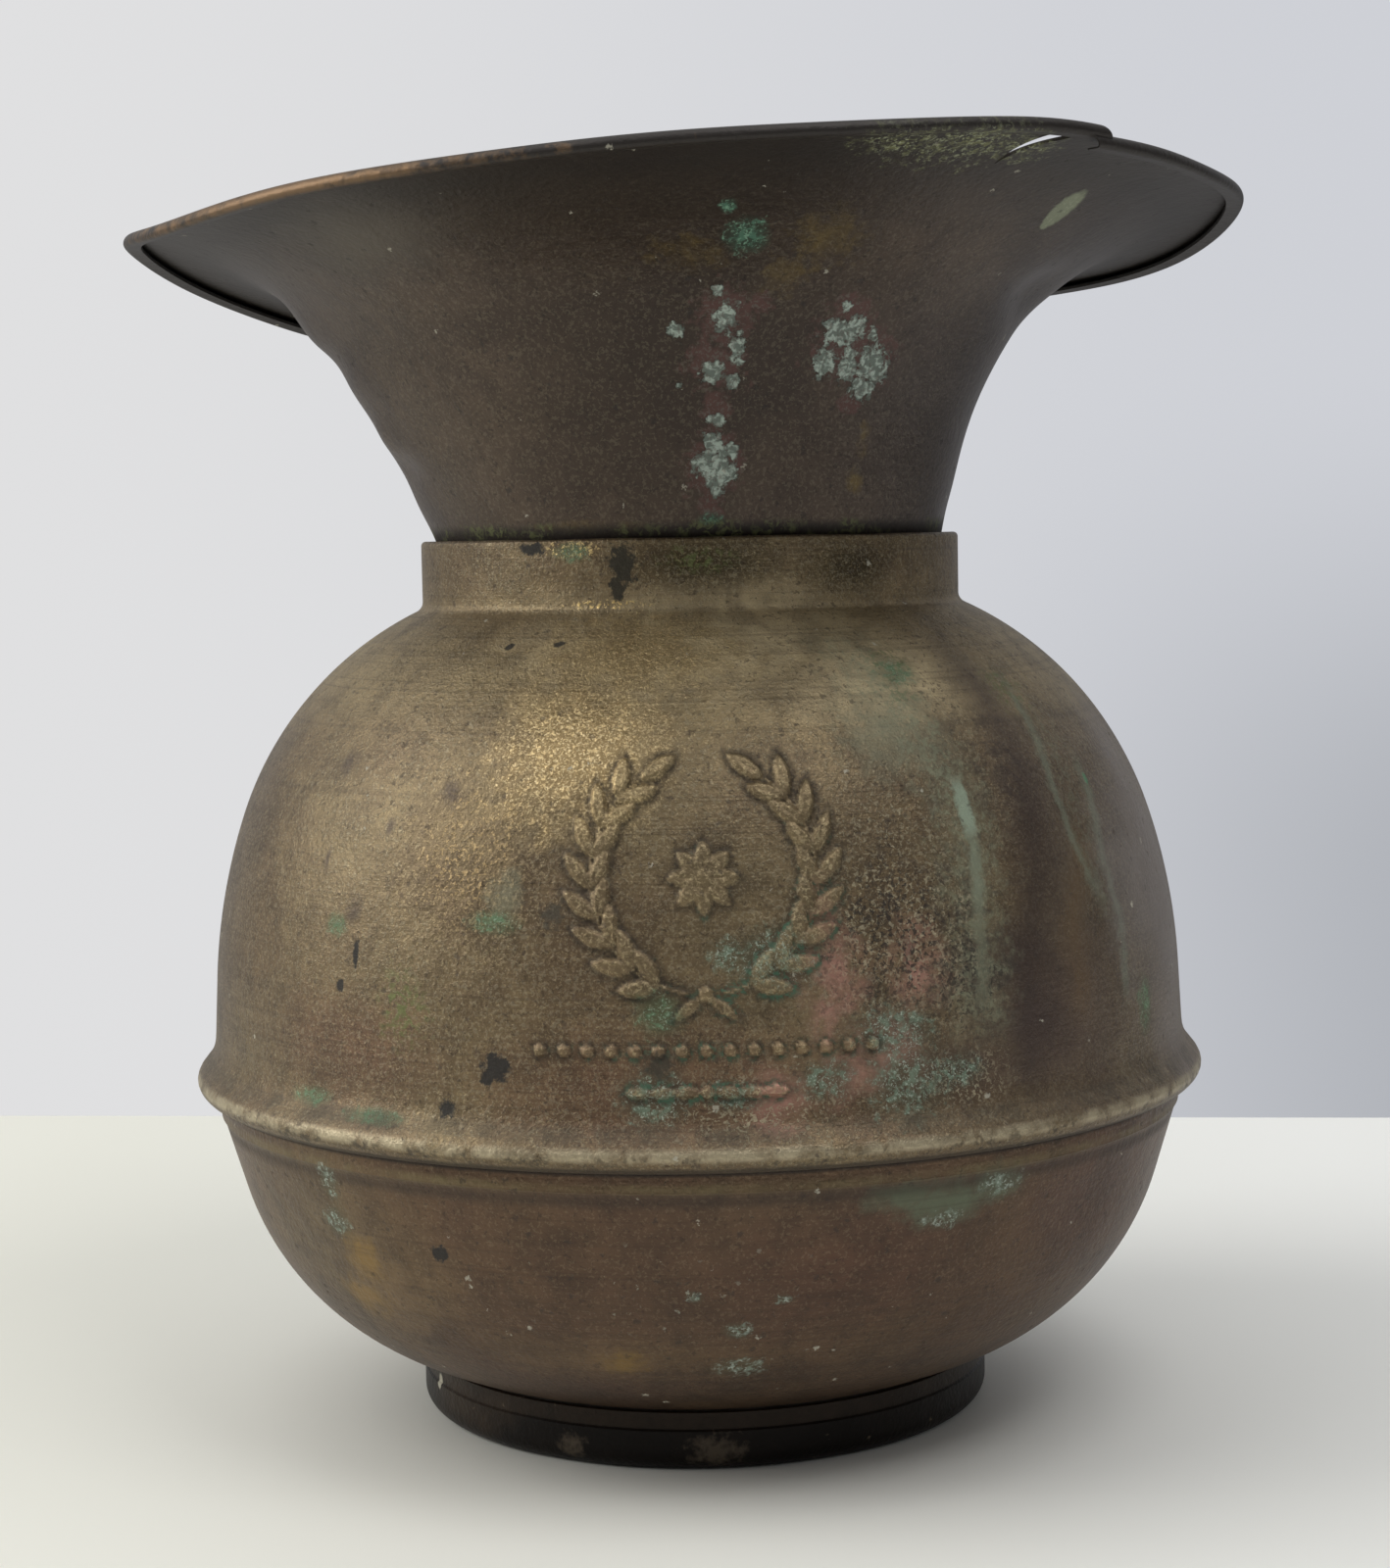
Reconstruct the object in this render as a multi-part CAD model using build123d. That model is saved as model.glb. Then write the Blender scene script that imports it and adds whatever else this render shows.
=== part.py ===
from build123d import *

import math
import os

# A spun brass spittoon: a round-bellied bowl on a foot ring, with a loose flared funnel in its collar.
# The body is three pieces of sheet. A lower shell laps up inside the bead of an upper shell, and stands
# on a foot ring; soft solder holds the lap and the foot. The upper shell carries the collar and a
# pressed wreath. The funnel only stands in the collar and lifts straight out for emptying. Its brim is
# bent out of level, rolled over at the edge, and torn at the front right.
#
# Millimetres, +Z up. The origin is on the floor at the middle of the foot, and the wreath faces -Y.
# Outlines are drawn in a section plane as (radius, height) and spun about +Z.

# Sheet, fits and relief
sheet = 0.7                     # body and funnel
foot_sheet = 1.0
running_gap = 0.3               # all round the loose funnel where it stands in the collar
solder_film = 0.3               # between the bowl and the foot's flange
lap_film = 0.15                 # between the two shells at the top of their lap
seam_gap = 0.15                 # hairline between the bead's edge and the lower shell
relief = 0.8                    # how far the pressed ornament stands out
overrun = 5.0                   # how far a cutting shape runs past what it cuts

# Lower shell, from the middle of its flat bottom up to the lap
belly_radius = 107.9
floor_clearance = 7.6
base_bend_radius = 97.6
belly_bend_radius = 59.4
belly_bend_turn = 48.7          # degrees
cone_lean = 16.6                # degrees from upright
cone_run = 16.2
lip_step = 0.35
lip_height = 4.0                # what shows of the lip under the bead
lap_height = 12.0               # what hides of it above

# Upper shell, from the bead up to the collar's turned-in edge
bead_reach = 7.3
bead_half_height = 4.5
bead_rise = 8.3                 # from the seam to where the wall leaves the bead
bead_top_turn = 66.0            # degrees round the bead where the wall leaves it
wall_lean = 3.0                 # degrees from upright
wall_run = 18.2
haunch_bend_radius = 130.6
haunch_turn = 16.25             # degrees
shoulder_bend_radius = 76.5
collar_radius = 60.35
collar_height = 15.0
collar_corner = 1.0
neck_fillet = 2.5

# Foot ring
foot_radius = 63.9
foot_step = 0.4
foot_step_height = 9.2
foot_toe_bend = 4.2
foot_toe_width = 1.2            # the flat that it stands on
foot_flange_width = 11.0
foot_corner = 0.6
foot_fillet_width = 2.4         # the solder's fillet past the flange

# Funnel, upwards from the collar
throat_radius = 56.95
throat_lean = 16.4              # degrees from upright
cone_bend_radius = 178.3
cone_turn = 12.55               # degrees
bell_bend_radius = 47.1
bell_turn = 49.3                # degrees
brim_run = 18.6
join_turn_share = 0.65          # how much of the bell's turn is in the leaning rings
curl_radius = 1.35
curl_turn = 184.0               # degrees
curl_tail = 2.6
spigot_depth = 26.0             # below the collar's top
spigot_drop = 2.0               # from the collar's top down to where the cone meets the upright spigot
brim_tilt = 5.35                # degrees out of level
brim_high_side = -68.0          # degrees from +X: the brim's highest point, nearly at the front
funnel_sway = 2.4               # how far the flare swells to the left on its way up
sway_turn = 290.0               # degrees of a wave that the sway follows from the throat to the brim
cone_ring_count = 5
bell_ring_count = 4
tear_side = -48.0               # degrees from +X
tear_skew = -5.5                # degrees from the crack's mouth round to its tip
tear_length = 21.0
tear_width = 2.0

# Ornament on the front of the upper shell, drawn flat and pressed through
wreath_rise = 52.4              # the wreath's centre above the bead's
wreath_shift = 1.5
wreath_radius = 22.0
wreath_start = -82.0            # degrees: where each branch begins, at the bottom
wreath_end = 57.0               # degrees: where it ends, near the top
leaf_pairs = 9
leaf_length = 9.6
leaf_width = 4.0
leaf_spread = 31.0              # degrees between a leaf and its branch
stem_width = 1.3
petal_count = 8
petal_length = 7.4
petal_width = 4.2
rosette_eye = 2.4
ribbon_length = 8.5
ribbon_width = 3.0
ribbon_drop = 38.0              # degrees below level
pearl_rise = 19.6               # the pearl row above the bead's centre
pearl_radius = 1.3
pearl_pitch = 4.6
pearl_count = 15
sprig_rise = 11.6               # the sprig above the bead's centre
sprig_leaf_length = 6.8
sprig_leaf_width = 3.0
sprig_leaf_count = 3


def direction(angle):
    """Unit step at an angle in degrees from the first axis of a section or a drawing."""
    return Vector(math.cos(math.radians(angle)), math.sin(math.radians(angle)))


def heading(lean):
    """Unit step upwards at a lean in degrees, outwards from upright."""
    return direction(90 - lean)


def join(points):
    """Straight edges through a row of points."""
    return [Line(start, end) for start, end in zip(points, points[1:])]


def spin(face):
    """Spin a face drawn as (radius, height) about +Z."""
    return revolve(Plane.XZ * face, Axis.Z)


def round_corners(section, corners):
    """Round the section's corner that lies nearest to each given point, by its radius."""
    face = section.face()
    for point, radius in corners:
        nearest = face.vertices().sort_by_distance(point)[0]
        face = face.fillet_2d(radius, [nearest])
    return face


# Lower shell: everything above it takes its place from its lip

cone_sine = math.sin(math.radians(cone_lean))
cone_cosine = math.cos(math.radians(cone_lean))
belly_foot_cosine = math.cos(math.radians(cone_lean + belly_bend_turn))
flat_radius = (belly_radius - cone_run * cone_sine
               - belly_bend_radius * (cone_cosine - belly_foot_cosine)
               - base_bend_radius * belly_foot_cosine)
base_centre = Vector(flat_radius, floor_clearance + base_bend_radius)


def bowl_outline(inset):
    """Two bends and a cone, from the flat bottom's edge up to the lip, inset from the outside."""
    base = JernArc(Vector(flat_radius, floor_clearance + inset), Vector(1, 0),
                   base_bend_radius - inset, 90 - cone_lean - belly_bend_turn)
    belly = JernArc(base @ 1, base % 1, belly_bend_radius - inset, belly_bend_turn)
    cone = Line(belly @ 1, (belly @ 1) + (belly % 1) * cone_run)
    return [base, belly, cone]


lip_radius = belly_radius + lip_step
lip_foot = (bowl_outline(0)[-1] @ 1).Y + lip_step
seam_height = lip_foot + lip_height
lap_top = seam_height + lap_height


def lower_shell():
    """The bowl: flat bottom, two bends, a cone, and an upright lip that laps inside the upper shell."""
    outer = bowl_outline(0)
    inner = bowl_outline(sheet)
    lip = [outer[-1] @ 1, Vector(lip_radius, lip_foot), Vector(lip_radius, lap_top),
           Vector(lip_radius - sheet, lap_top), Vector(lip_radius - sheet, lip_foot), inner[-1] @ 1]
    bottom = [inner[0] @ 0, Vector(0, floor_clearance + sheet), Vector(0, floor_clearance), outer[0] @ 0]
    return spin(make_face(outer + join(lip) + inner + join(bottom)))


# Upper shell: its wall stands off the lap by the film of solder, and the bead hangs from the wall

wall_sine = math.sin(math.radians(wall_lean))
wall_cosine = math.cos(math.radians(wall_lean))
bead_top = Vector(bead_reach * math.cos(math.radians(bead_top_turn)),
                  bead_half_height * math.sin(math.radians(bead_top_turn)))
wall_foot_height = seam_height + bead_rise
wall_foot = Vector(lip_radius + lap_film + sheet / wall_cosine
                   + (lap_top - wall_foot_height) * wall_sine / wall_cosine, wall_foot_height)
bead_centre = wall_foot - bead_top
bead_edge_radius = lip_radius + seam_gap


def bead_outline(inset):
    """The bead's oval arc, from the hairline seam up to the wall, inset from the outside."""
    reach = bead_reach - inset
    edge_turn = math.degrees(math.acos((bead_edge_radius - bead_centre.X) / reach))
    wall_turn = math.degrees(math.acos((bead_top.X - inset) / reach))
    return EllipticalCenterArc(bead_centre, reach, bead_half_height - inset, -edge_turn,
                               arc_size=edge_turn + wall_turn)


def body_outline(inset):
    """Wall, haunch and shoulder, from the bead up to the collar, inset from the outside."""
    wall_start = wall_foot - direction(wall_lean) * inset
    wall = Line(wall_start, wall_start + heading(-wall_lean) * wall_run)
    haunch = JernArc(wall @ 1, wall % 1, haunch_bend_radius - inset, haunch_turn)
    shoulder_start = wall_lean + haunch_turn
    shoulder_bend = shoulder_bend_radius - inset
    shoulder_centre = (haunch @ 1) - direction(shoulder_start) * shoulder_bend
    shoulder_end = math.degrees(math.acos((collar_radius - inset - shoulder_centre.X) / shoulder_bend))
    shoulder = JernArc(haunch @ 1, haunch % 1, shoulder_bend, shoulder_end - shoulder_start)
    return [wall, haunch, shoulder]


neck_height = (body_outline(0)[-1] @ 1).Y
collar_top = neck_height + collar_height
hole_radius = throat_radius + running_gap


def upper_shell_face():
    """Section of the upper shell: bead, wall, shoulder, collar and the collar's turned-in edge."""
    outer_bead = bead_outline(0)
    inner_bead = bead_outline(sheet)
    outer = body_outline(0)
    inner = body_outline(sheet)
    outer_corner = Vector(collar_radius, collar_top)
    inner_corner = Vector(collar_radius - sheet, collar_top - sheet)
    collar = [outer[-1] @ 1, outer_corner, Vector(hole_radius, collar_top),
              Vector(hole_radius, collar_top - sheet), inner_corner, inner[-1] @ 1]
    face = make_face([outer_bead] + outer + join(collar) + inner[1:]
                     + [Line(inner[0] @ 1, inner_bead @ 1), inner_bead]
                     + [Line(inner_bead @ 0, outer_bead @ 0)])
    return round_corners(face, [(outer_corner, collar_corner), (inner_corner, collar_corner - sheet),
                                (outer[-1] @ 1, neck_fillet), (inner[-1] @ 1, neck_fillet + sheet)])


def leaf(length, width):
    """A pointed leaf along the first axis, its foot at the origin."""
    foot = Vector(0, 0)
    tip = Vector(length, 0)
    return make_face([SagittaArc(foot, tip, width / 2), SagittaArc(tip, foot, width / 2)])


def branch(side):
    """One branch of the wreath: a bowed stem with leaves in pairs. Side 1 is right, -1 is left."""
    shapes = []
    turn = wreath_end - wreath_start
    half = stem_width / 2
    start = direction(wreath_start)
    end = direction(wreath_end)
    shapes.append(make_face([CenterArc(Vector(0, 0), wreath_radius + half, wreath_start, turn),
                             Line(end * (wreath_radius + half), end * (wreath_radius - half)),
                             CenterArc(Vector(0, 0), wreath_radius - half, wreath_start, turn),
                             Line(start * (wreath_radius - half), start * (wreath_radius + half))]))
    for pair in range(leaf_pairs):
        angle = wreath_start + turn * (pair + 1) / leaf_pairs
        foot = direction(angle) * wreath_radius
        spreads = [0] if pair == leaf_pairs - 1 else [leaf_spread, -leaf_spread]
        for spread in spreads:
            blade = Pos(-stem_width / 2, 0) * leaf(leaf_length, leaf_width)
            shapes.append(Pos(foot.X, foot.Y) * Rot(0, 0, angle + 90 + spread) * blade)
    if side < 0:
        shapes = [mirror(shape, Plane.YZ) for shape in shapes]
    return shapes


def wreath():
    """Two branches tied at the bottom by a ribbon, round a small rosette."""
    shapes = branch(1) + branch(-1)
    knot = Pos(0, -wreath_radius)
    shapes.append(knot * Circle(ribbon_width / 2))
    for angle in [-ribbon_drop, ribbon_drop - 180]:
        shapes.append(knot * Rot(0, 0, angle) * leaf(ribbon_length, ribbon_width))
    for petal in range(petal_count):
        shapes.append(Rot(0, 0, 360 * petal / petal_count) * leaf(petal_length, petal_width))
    shapes.append(Circle(rosette_eye))
    return [Pos(wreath_shift, bead_centre.Y + wreath_rise) * shape for shape in shapes]


def pearl_row():
    """A level row of pearls under the wreath."""
    middle = (pearl_count - 1) / 2
    return [Pos(wreath_shift + (place - middle) * pearl_pitch, bead_centre.Y + pearl_rise)
            * Circle(pearl_radius) for place in range(pearl_count)]


def sprig():
    """A short row of leaves that point away from a single pearl."""
    shapes = [Circle(pearl_radius)]
    for place in range(sprig_leaf_count):
        foot = pearl_radius / 2 + place * sprig_leaf_length * 2 / 3
        lying = Pos(foot, 0) * leaf(sprig_leaf_length, sprig_leaf_width)
        shapes.append(lying)
        shapes.append(mirror(lying, Plane.YZ))
    return [Pos(wreath_shift, bead_centre.Y + sprig_rise) * shape for shape in shapes]


def ornament():
    """The ornament's drawing pushed back through the front of the wall, cut to an even relief."""
    drawing = Sketch() + (wreath() + pearl_row() + sprig())
    front = Plane.XZ.offset(wall_foot.X + overrun)
    pressed = extrude(front * drawing, amount=-wall_foot.X / 2)
    root = body_outline(sheet / 2)
    crest = body_outline(-relief)
    skin = spin(make_face(root + crest + [Line(root[0] @ 0, crest[0] @ 0),
                                          Line(root[-1] @ 1, crest[-1] @ 1)]))
    return pressed & skin


def upper_shell():
    """The upper half of the body, with its pressed ornament."""
    return spin(upper_shell_face()) + ornament()


# Foot ring: its flange runs parallel to the bowl's underside


def under_bowl(radius, depth):
    """The point at a radius, a depth below the bowl's underside."""
    bend = base_bend_radius + depth
    return Vector(radius, base_centre.Y - math.sqrt(bend ** 2 - (radius - base_centre.X) ** 2))


def under_bowl_arc(start_radius, end_radius, depth):
    """An arc parallel to the bowl's underside, between two radii."""
    middle = (start_radius + end_radius) / 2
    return ThreePointArc(under_bowl(start_radius, depth), under_bowl(middle, depth),
                         under_bowl(end_radius, depth))


flange_radius = foot_radius - foot_flange_width
flange_underside = solder_film + foot_sheet


def foot_ring():
    """A stepped band with its top flanged in under the bowl and its toe rolled in on the floor."""
    flange_top = under_bowl_arc(flange_radius, foot_radius, solder_film)
    flange_under = under_bowl_arc(flange_radius, foot_radius - foot_sheet, flange_underside)
    band_radius = foot_radius + foot_step
    toe_centre = Vector(band_radius - foot_toe_bend, foot_toe_bend)
    toe_end = toe_centre.X - foot_toe_width
    outer_toe = CenterArc(toe_centre, foot_toe_bend, 0, -90)
    inner_toe = CenterArc(toe_centre, foot_toe_bend - foot_sheet, 0, -90)
    outside = [flange_top @ 1, Vector(foot_radius, foot_step_height),
               Vector(band_radius, foot_step_height - foot_step), outer_toe @ 0]
    toe = [outer_toe @ 1, Vector(toe_end, 0), Vector(toe_end, foot_sheet), inner_toe @ 1]
    inside = [inner_toe @ 0, Vector(band_radius - foot_sheet, foot_step_height - foot_step),
              Vector(foot_radius - foot_sheet, foot_step_height), flange_under @ 1]
    face = make_face([flange_top, outer_toe, inner_toe, flange_under] + join(outside) + join(toe)
                     + join(inside) + [Line(flange_under @ 0, flange_top @ 0)])
    return spin(round_corners(face, [(flange_top @ 1, foot_corner)]))


def foot_solder():
    """Solder between the bowl and the foot's flange, with a fillet inside the flange's edge."""
    fillet_radius = flange_radius - foot_fillet_width
    film_radius = foot_radius - foot_corner * 2
    against_bowl = under_bowl_arc(fillet_radius, film_radius, 0)
    against_flange = under_bowl_arc(flange_radius, film_radius, solder_film)
    edge = under_bowl(flange_radius, flange_underside)
    return spin(make_face([against_bowl, against_flange, Line(against_bowl @ 1, against_flange @ 1)]
                          + join([against_flange @ 0, edge, against_bowl @ 0])))


def seam_solder():
    """Solder run into the lap between the two shells, inside the bead."""
    wall_in = bead_outline(sheet) @ 1
    wall_out = body_outline(sheet)[0] @ 1
    share = (lap_top - wall_in.Y) / (wall_out.Y - wall_in.Y)
    wall_at_top = wall_in + (wall_out - wall_in) * share
    corners = [wall_in, wall_at_top, Vector(lip_radius, lap_top), Vector(lip_radius, wall_in.Y), wall_in]
    return spin(make_face(join(corners)))


# Funnel: rings that lean more and more, then a brim spun about the leaning axis

join_lean = throat_lean + cone_turn + bell_turn * join_turn_share
brim_lean = throat_lean + cone_turn + bell_turn
funnel_cone = JernArc(Vector(throat_radius, 0), heading(throat_lean), cone_bend_radius, -cone_turn)
funnel_bell = JernArc(funnel_cone @ 1, funnel_cone % 1, bell_bend_radius, -bell_turn * join_turn_share)
join_rise = (funnel_bell @ 1).Y


def inner_radius(radius, lean, bend):
    """Radius of the funnel's inside in the level plane where its outside has this radius and lean."""
    bend_centre = radius + bend * math.cos(math.radians(lean))
    depth = bend * math.sin(math.radians(lean))
    return bend_centre - math.sqrt((bend + sheet) ** 2 - depth ** 2)


def funnel_rings():
    """The rings of the leaning part, each (rise above the collar, outer radius, inner radius)."""
    foot = (funnel_cone @ 0) - (funnel_cone % 0) * (spigot_drop / (funnel_cone % 0).Y)
    stations = [(foot, throat_lean, cone_bend_radius)]
    for step in range(cone_ring_count):
        share = (step + 1) / cone_ring_count
        stations.append((funnel_cone @ share, throat_lean + cone_turn * share, cone_bend_radius))
    for step in range(bell_ring_count):
        share = (step + 1) / bell_ring_count
        lean = throat_lean + cone_turn + bell_turn * join_turn_share * share
        stations.append((funnel_bell @ share, lean, bell_bend_radius))
    return [(point.Y, point.X, inner_radius(point.X, lean, bend)) for point, lean, bend in stations]


def ring_plane(rise):
    """The plane of a funnel ring: the higher it is, the more it tilts and sways."""
    share = (rise + spigot_drop) / (join_rise + spigot_drop)
    tilt = math.radians(brim_tilt * share)
    high_side = direction(brim_high_side)
    normal = Vector(-math.sin(tilt) * high_side.X, -math.sin(tilt) * high_side.Y, math.cos(tilt))
    right = (Vector(1, 0, 0) - normal * normal.X).normalized()
    sway = funnel_sway * (1 - math.cos(math.radians(sway_turn * share))) / 2
    centre = Vector(-sway, 0, collar_top + rise)
    return Plane(origin=centre, x_dir=right, z_dir=normal)


def brim():
    """The flat outer brim with its edge rolled down and under, spun about the leaning axis."""
    plane = ring_plane(join_rise)
    _, radius, inside = funnel_rings()[-1]
    rest_turn = bell_turn * (1 - join_turn_share)
    inside_lean = math.degrees(math.asin(bell_bend_radius * math.sin(math.radians(join_lean))
                                         / (bell_bend_radius + sheet)))
    under = [JernArc(Vector(radius, 0), heading(join_lean), bell_bend_radius, -rest_turn)]
    over = [JernArc(Vector(inside, 0), heading(inside_lean), bell_bend_radius + sheet,
                    inside_lean - brim_lean)]
    for side, bend in [(under, curl_radius - sheet), (over, curl_radius)]:
        side.append(Line(side[-1] @ 1, (side[-1] @ 1) + (side[-1] % 1) * brim_run))
        side.append(JernArc(side[-1] @ 1, side[-1] % 1, bend, -curl_turn))
        side.append(Line(side[-1] @ 1, (side[-1] @ 1) + (side[-1] % 1) * curl_tail))
    face = make_face(under + over + [Line(under[0] @ 0, over[0] @ 0), Line(under[-1] @ 1, over[-1] @ 1)])
    section = Plane(origin=plane.origin, x_dir=plane.x_dir, z_dir=-plane.y_dir)
    return revolve(section * face, Axis(plane.origin, plane.z_dir))


def tear():
    """A narrow wedge through the brim, from its edge in to the crack's tip."""
    rim = (funnel_bell @ 1).X + bell_bend_radius * (math.cos(math.radians(join_lean))
                                                    - math.cos(math.radians(brim_lean))) + brim_run
    tip = direction(tear_side + tear_skew) * (rim - tear_length)
    mouth = direction(tear_side) * (rim + overrun)
    across = direction(tear_side + 90) * (tear_width / 2)
    wedge = make_face(join([tip, mouth + across, mouth - across, tip]))
    return Pos(0, 0, collar_top + join_rise / 2) * extrude(wedge, amount=rim)


def funnel():
    """The loose funnel: upright spigot, leaning flare and torn brim."""
    rings = funnel_rings()
    outside = loft([ring_plane(rise) * Circle(outer) for rise, outer, inner in rings])
    inside = loft([ring_plane(rise) * Circle(inner) for rise, outer, inner in rings])
    rise, outer, inner = rings[0]
    spigot = extrude(ring_plane(rise) * (Circle(outer) - Circle(inner)), amount=-(spigot_depth + rise))
    return outside - inside + spigot + brim() - tear()


parts = {
    "lower_shell": lower_shell,
    "upper_shell": upper_shell,
    "foot_ring": foot_ring,
    "foot_solder": foot_solder,
    "seam_solder": seam_solder,
    "funnel": funnel,
}

os.makedirs("parts", exist_ok=True)
for name, make in parts.items():
    export_step(make(), f"parts/{name}.step")
print(f"seam {seam_height:.2f}  neck {neck_height:.2f}  collar {collar_top:.2f}  join {join_rise:.2f}")
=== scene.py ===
# %% [markdown]
# # A spun brass spittoon
# The real object is four pieces of spun brass sheet: a bowl, an upper half with a pressed wreath, a foot
# ring, and a loose funnel that stands in the collar. It has stood in damp air for a century, so the brass
# is brown, with green crusts, and shows golden only where it was rubbed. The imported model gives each
# piece's place. This lesson spins the same pieces finer, dents them, and gives them their patina.

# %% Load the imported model
import bpy
import math
import numpy as np
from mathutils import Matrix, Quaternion


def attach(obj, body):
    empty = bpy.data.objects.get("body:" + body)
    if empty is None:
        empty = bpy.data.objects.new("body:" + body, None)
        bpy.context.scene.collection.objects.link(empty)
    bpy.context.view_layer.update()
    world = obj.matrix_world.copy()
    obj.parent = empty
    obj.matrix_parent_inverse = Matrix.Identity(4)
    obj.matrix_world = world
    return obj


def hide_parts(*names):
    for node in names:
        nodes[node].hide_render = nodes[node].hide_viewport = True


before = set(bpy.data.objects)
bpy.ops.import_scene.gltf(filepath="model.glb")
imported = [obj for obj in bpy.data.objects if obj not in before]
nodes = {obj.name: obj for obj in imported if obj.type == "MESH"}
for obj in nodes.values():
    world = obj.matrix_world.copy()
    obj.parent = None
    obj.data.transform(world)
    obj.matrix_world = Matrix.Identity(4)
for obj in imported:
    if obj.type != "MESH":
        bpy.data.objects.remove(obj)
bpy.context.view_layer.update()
mm = 0.001
print("pieces in the packed model:", sorted(nodes))

# %% [markdown]
# ## The camera
# The photograph was taken from a little above the collar, looking slightly down, and the camera was not
# quite level, so the camera is placed by its distance, its height and its two tilts.

# %% Camera
camera_distance = 0.667
camera_height = 0.1957
camera_aside = 0.0002
camera_down_tilt = 4.809        # degrees
camera_roll = -1.1              # degrees
camera_lens = 67.57             # mm, on a sensor whose long side is 36 mm

camera = bpy.data.objects.new("photo_camera", bpy.data.cameras.new("photo_camera"))
bpy.context.scene.collection.objects.link(camera)
camera.data.sensor_width = 36.0
camera.data.lens = camera_lens
camera.location = (camera_aside, -camera_distance, camera_height)
camera.rotation_mode = "QUATERNION"
camera.rotation_quaternion = (Quaternion((1, 0, 0), math.radians(90 - camera_down_tilt))
                              @ Quaternion((0, 0, 1), math.radians(camera_roll)))
bpy.context.scene.camera = camera
bpy.context.scene.view_settings.view_transform = "Standard"

# %% [markdown]
# ## Colours and node helpers
# Colours are easiest to judge as they look on a screen, and Blender mixes light in linear values, so one
# small function turns the first into the second. The others add one node each and wire its inputs, which
# keeps each material short enough to read.


# %% Colour and node helpers
def paint(red, green, blue):
    """A screen colour, each part from 0 to 255, as the linear colour that Blender mixes."""
    parts = [part / 255 for part in (red, green, blue)]
    linear = [part / 12.92 if part <= 0.04045 else ((part + 0.055) / 1.055) ** 2.4 for part in parts]
    return (*linear, 1.0)


def add(tree, kind, inputs=None, **options):
    """Add a node. Options are its own settings, inputs are its sockets, as values or other nodes' sockets."""
    made = tree.nodes.new(kind)
    for option, value in options.items():
        setattr(made, option, value)
    for socket, value in (inputs or {}).items():
        if isinstance(value, bpy.types.NodeSocket):
            tree.links.new(value, made.inputs[socket])
        else:
            made.inputs[socket].default_value = value
    return made


def calc(tree, operation, *values, clamp=False):
    """A Math node's answer."""
    made = add(tree, "ShaderNodeMath", dict(enumerate(values)), operation=operation)
    made.use_clamp = clamp
    return made.outputs[0]


def ramp(tree, value, low, high, kind="SMOOTHSTEP"):
    """Stretch a value so that low gives 0 and high gives 1, with soft ends."""
    return add(tree, "ShaderNodeMapRange", {0: value, 1: low, 2: high}, interpolation_type=kind).outputs[0]


def blend_colour(tree, mask, under, over):
    """Lay one colour over another where the mask is white."""
    return add(tree, "ShaderNodeMix", {0: mask, 6: under, 7: over}, data_type="RGBA").outputs[2]


def blend_value(tree, mask, under, over):
    """Lay one value over another where the mask is white."""
    return add(tree, "ShaderNodeMix", {0: mask, 2: under, 3: over}).outputs[0]


# %% [markdown]
# ## Table, wall and light
# The object stands on an off-white table, in front of a pale grey wall, in soft light from the upper left.
# The table is a plain sheet that ends where the photograph's table does; its back edge runs a little
# askew, as tables do. The wall is the world's colour, seen by the camera and in reflections only, so it
# doesn't light the object and it never hides it from behind. The room behind the camera is dimmer than
# the wall, which keeps upright brass dark, and a ceiling's glow and four soft lamps give the light.

# %% Table
table_back = 0.316
table_back_slant = -0.105
table_front = -1.6
table_half_width = 1.5

bpy.ops.object.select_all(action="DESELECT")
bpy.ops.mesh.primitive_plane_add(size=1, location=(0, 0, 0))
table = bpy.context.object
table.name = "table"
for corner in table.data.vertices:
    corner.co.x *= 2 * table_half_width
    corner.co.y = table_back + table_back_slant * corner.co.x if corner.co.y > 0 else table_front
table_paint = bpy.data.materials.new("table_paint")
table_paint.use_nodes = True
table_tree = table_paint.node_tree
table_shader = table_tree.nodes["Principled BSDF"]
table_place = add(table_tree, "ShaderNodeTexCoord").outputs["Object"]
table_stain = add(table_tree, "ShaderNodeTexNoise", {"Vector": table_place, "Scale": 3.0}).outputs[0]
# The table's colour grows paler and cooler towards the right: painted light that evens out the lamps' fall-off
# there. The noise over it is stains.
painted_light_right = add(table_tree, "ShaderNodeSeparateXYZ", {0: table_place}).outputs[0]
painted_light_right = add(table_tree, "ShaderNodeMapRange", {0: painted_light_right, 1: -0.2, 2: 0.2}).outputs[0]
table_colour = blend_colour(table_tree, painted_light_right, paint(232, 232, 222), paint(248, 249, 247))
table_colour = blend_colour(table_tree, calc(table_tree, "MULTIPLY", table_stain, 0.3), table_colour,
                            paint(238, 238, 231))
table_tree.links.new(table_colour, table_shader.inputs["Base Color"])
table_shader.inputs["Roughness"].default_value = 0.6
table.data.materials.append(table_paint)

# %% Wall, ceiling and room, which are the world's colour
world = bpy.data.worlds.new("room")
bpy.context.scene.world = world
world.use_nodes = True
room = world.node_tree
rays = add(room, "ShaderNodeLightPath")
way = add(room, "ShaderNodeSeparateXYZ", {0: add(room, "ShaderNodeTexCoord").outputs["Generated"]})
# The wall is painted paler on the left and darker towards the right, darkest low on the right: painted light
# and shade on the backdrop.
across = ramp(room, way.outputs[0], -0.25, 0.25)
wall = blend_colour(room, across, paint(224, 224, 225), paint(206, 208, 214))
wall_shade_low_right = calc(room, "MULTIPLY", ramp(room, way.outputs[0], 0.02, 0.3),
                 ramp(room, way.outputs[2], 0.06, -0.12))
wall = blend_colour(room, wall_shade_low_right, wall, paint(172, 175, 181))
ceiling = calc(room, "MULTIPLY", calc(room, "MAXIMUM", way.outputs[2], 0.0), 0.6)
far_side = calc(room, "MULTIPLY", calc(room, "MAXIMUM", way.outputs[1], 0.0), 0.22)
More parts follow.
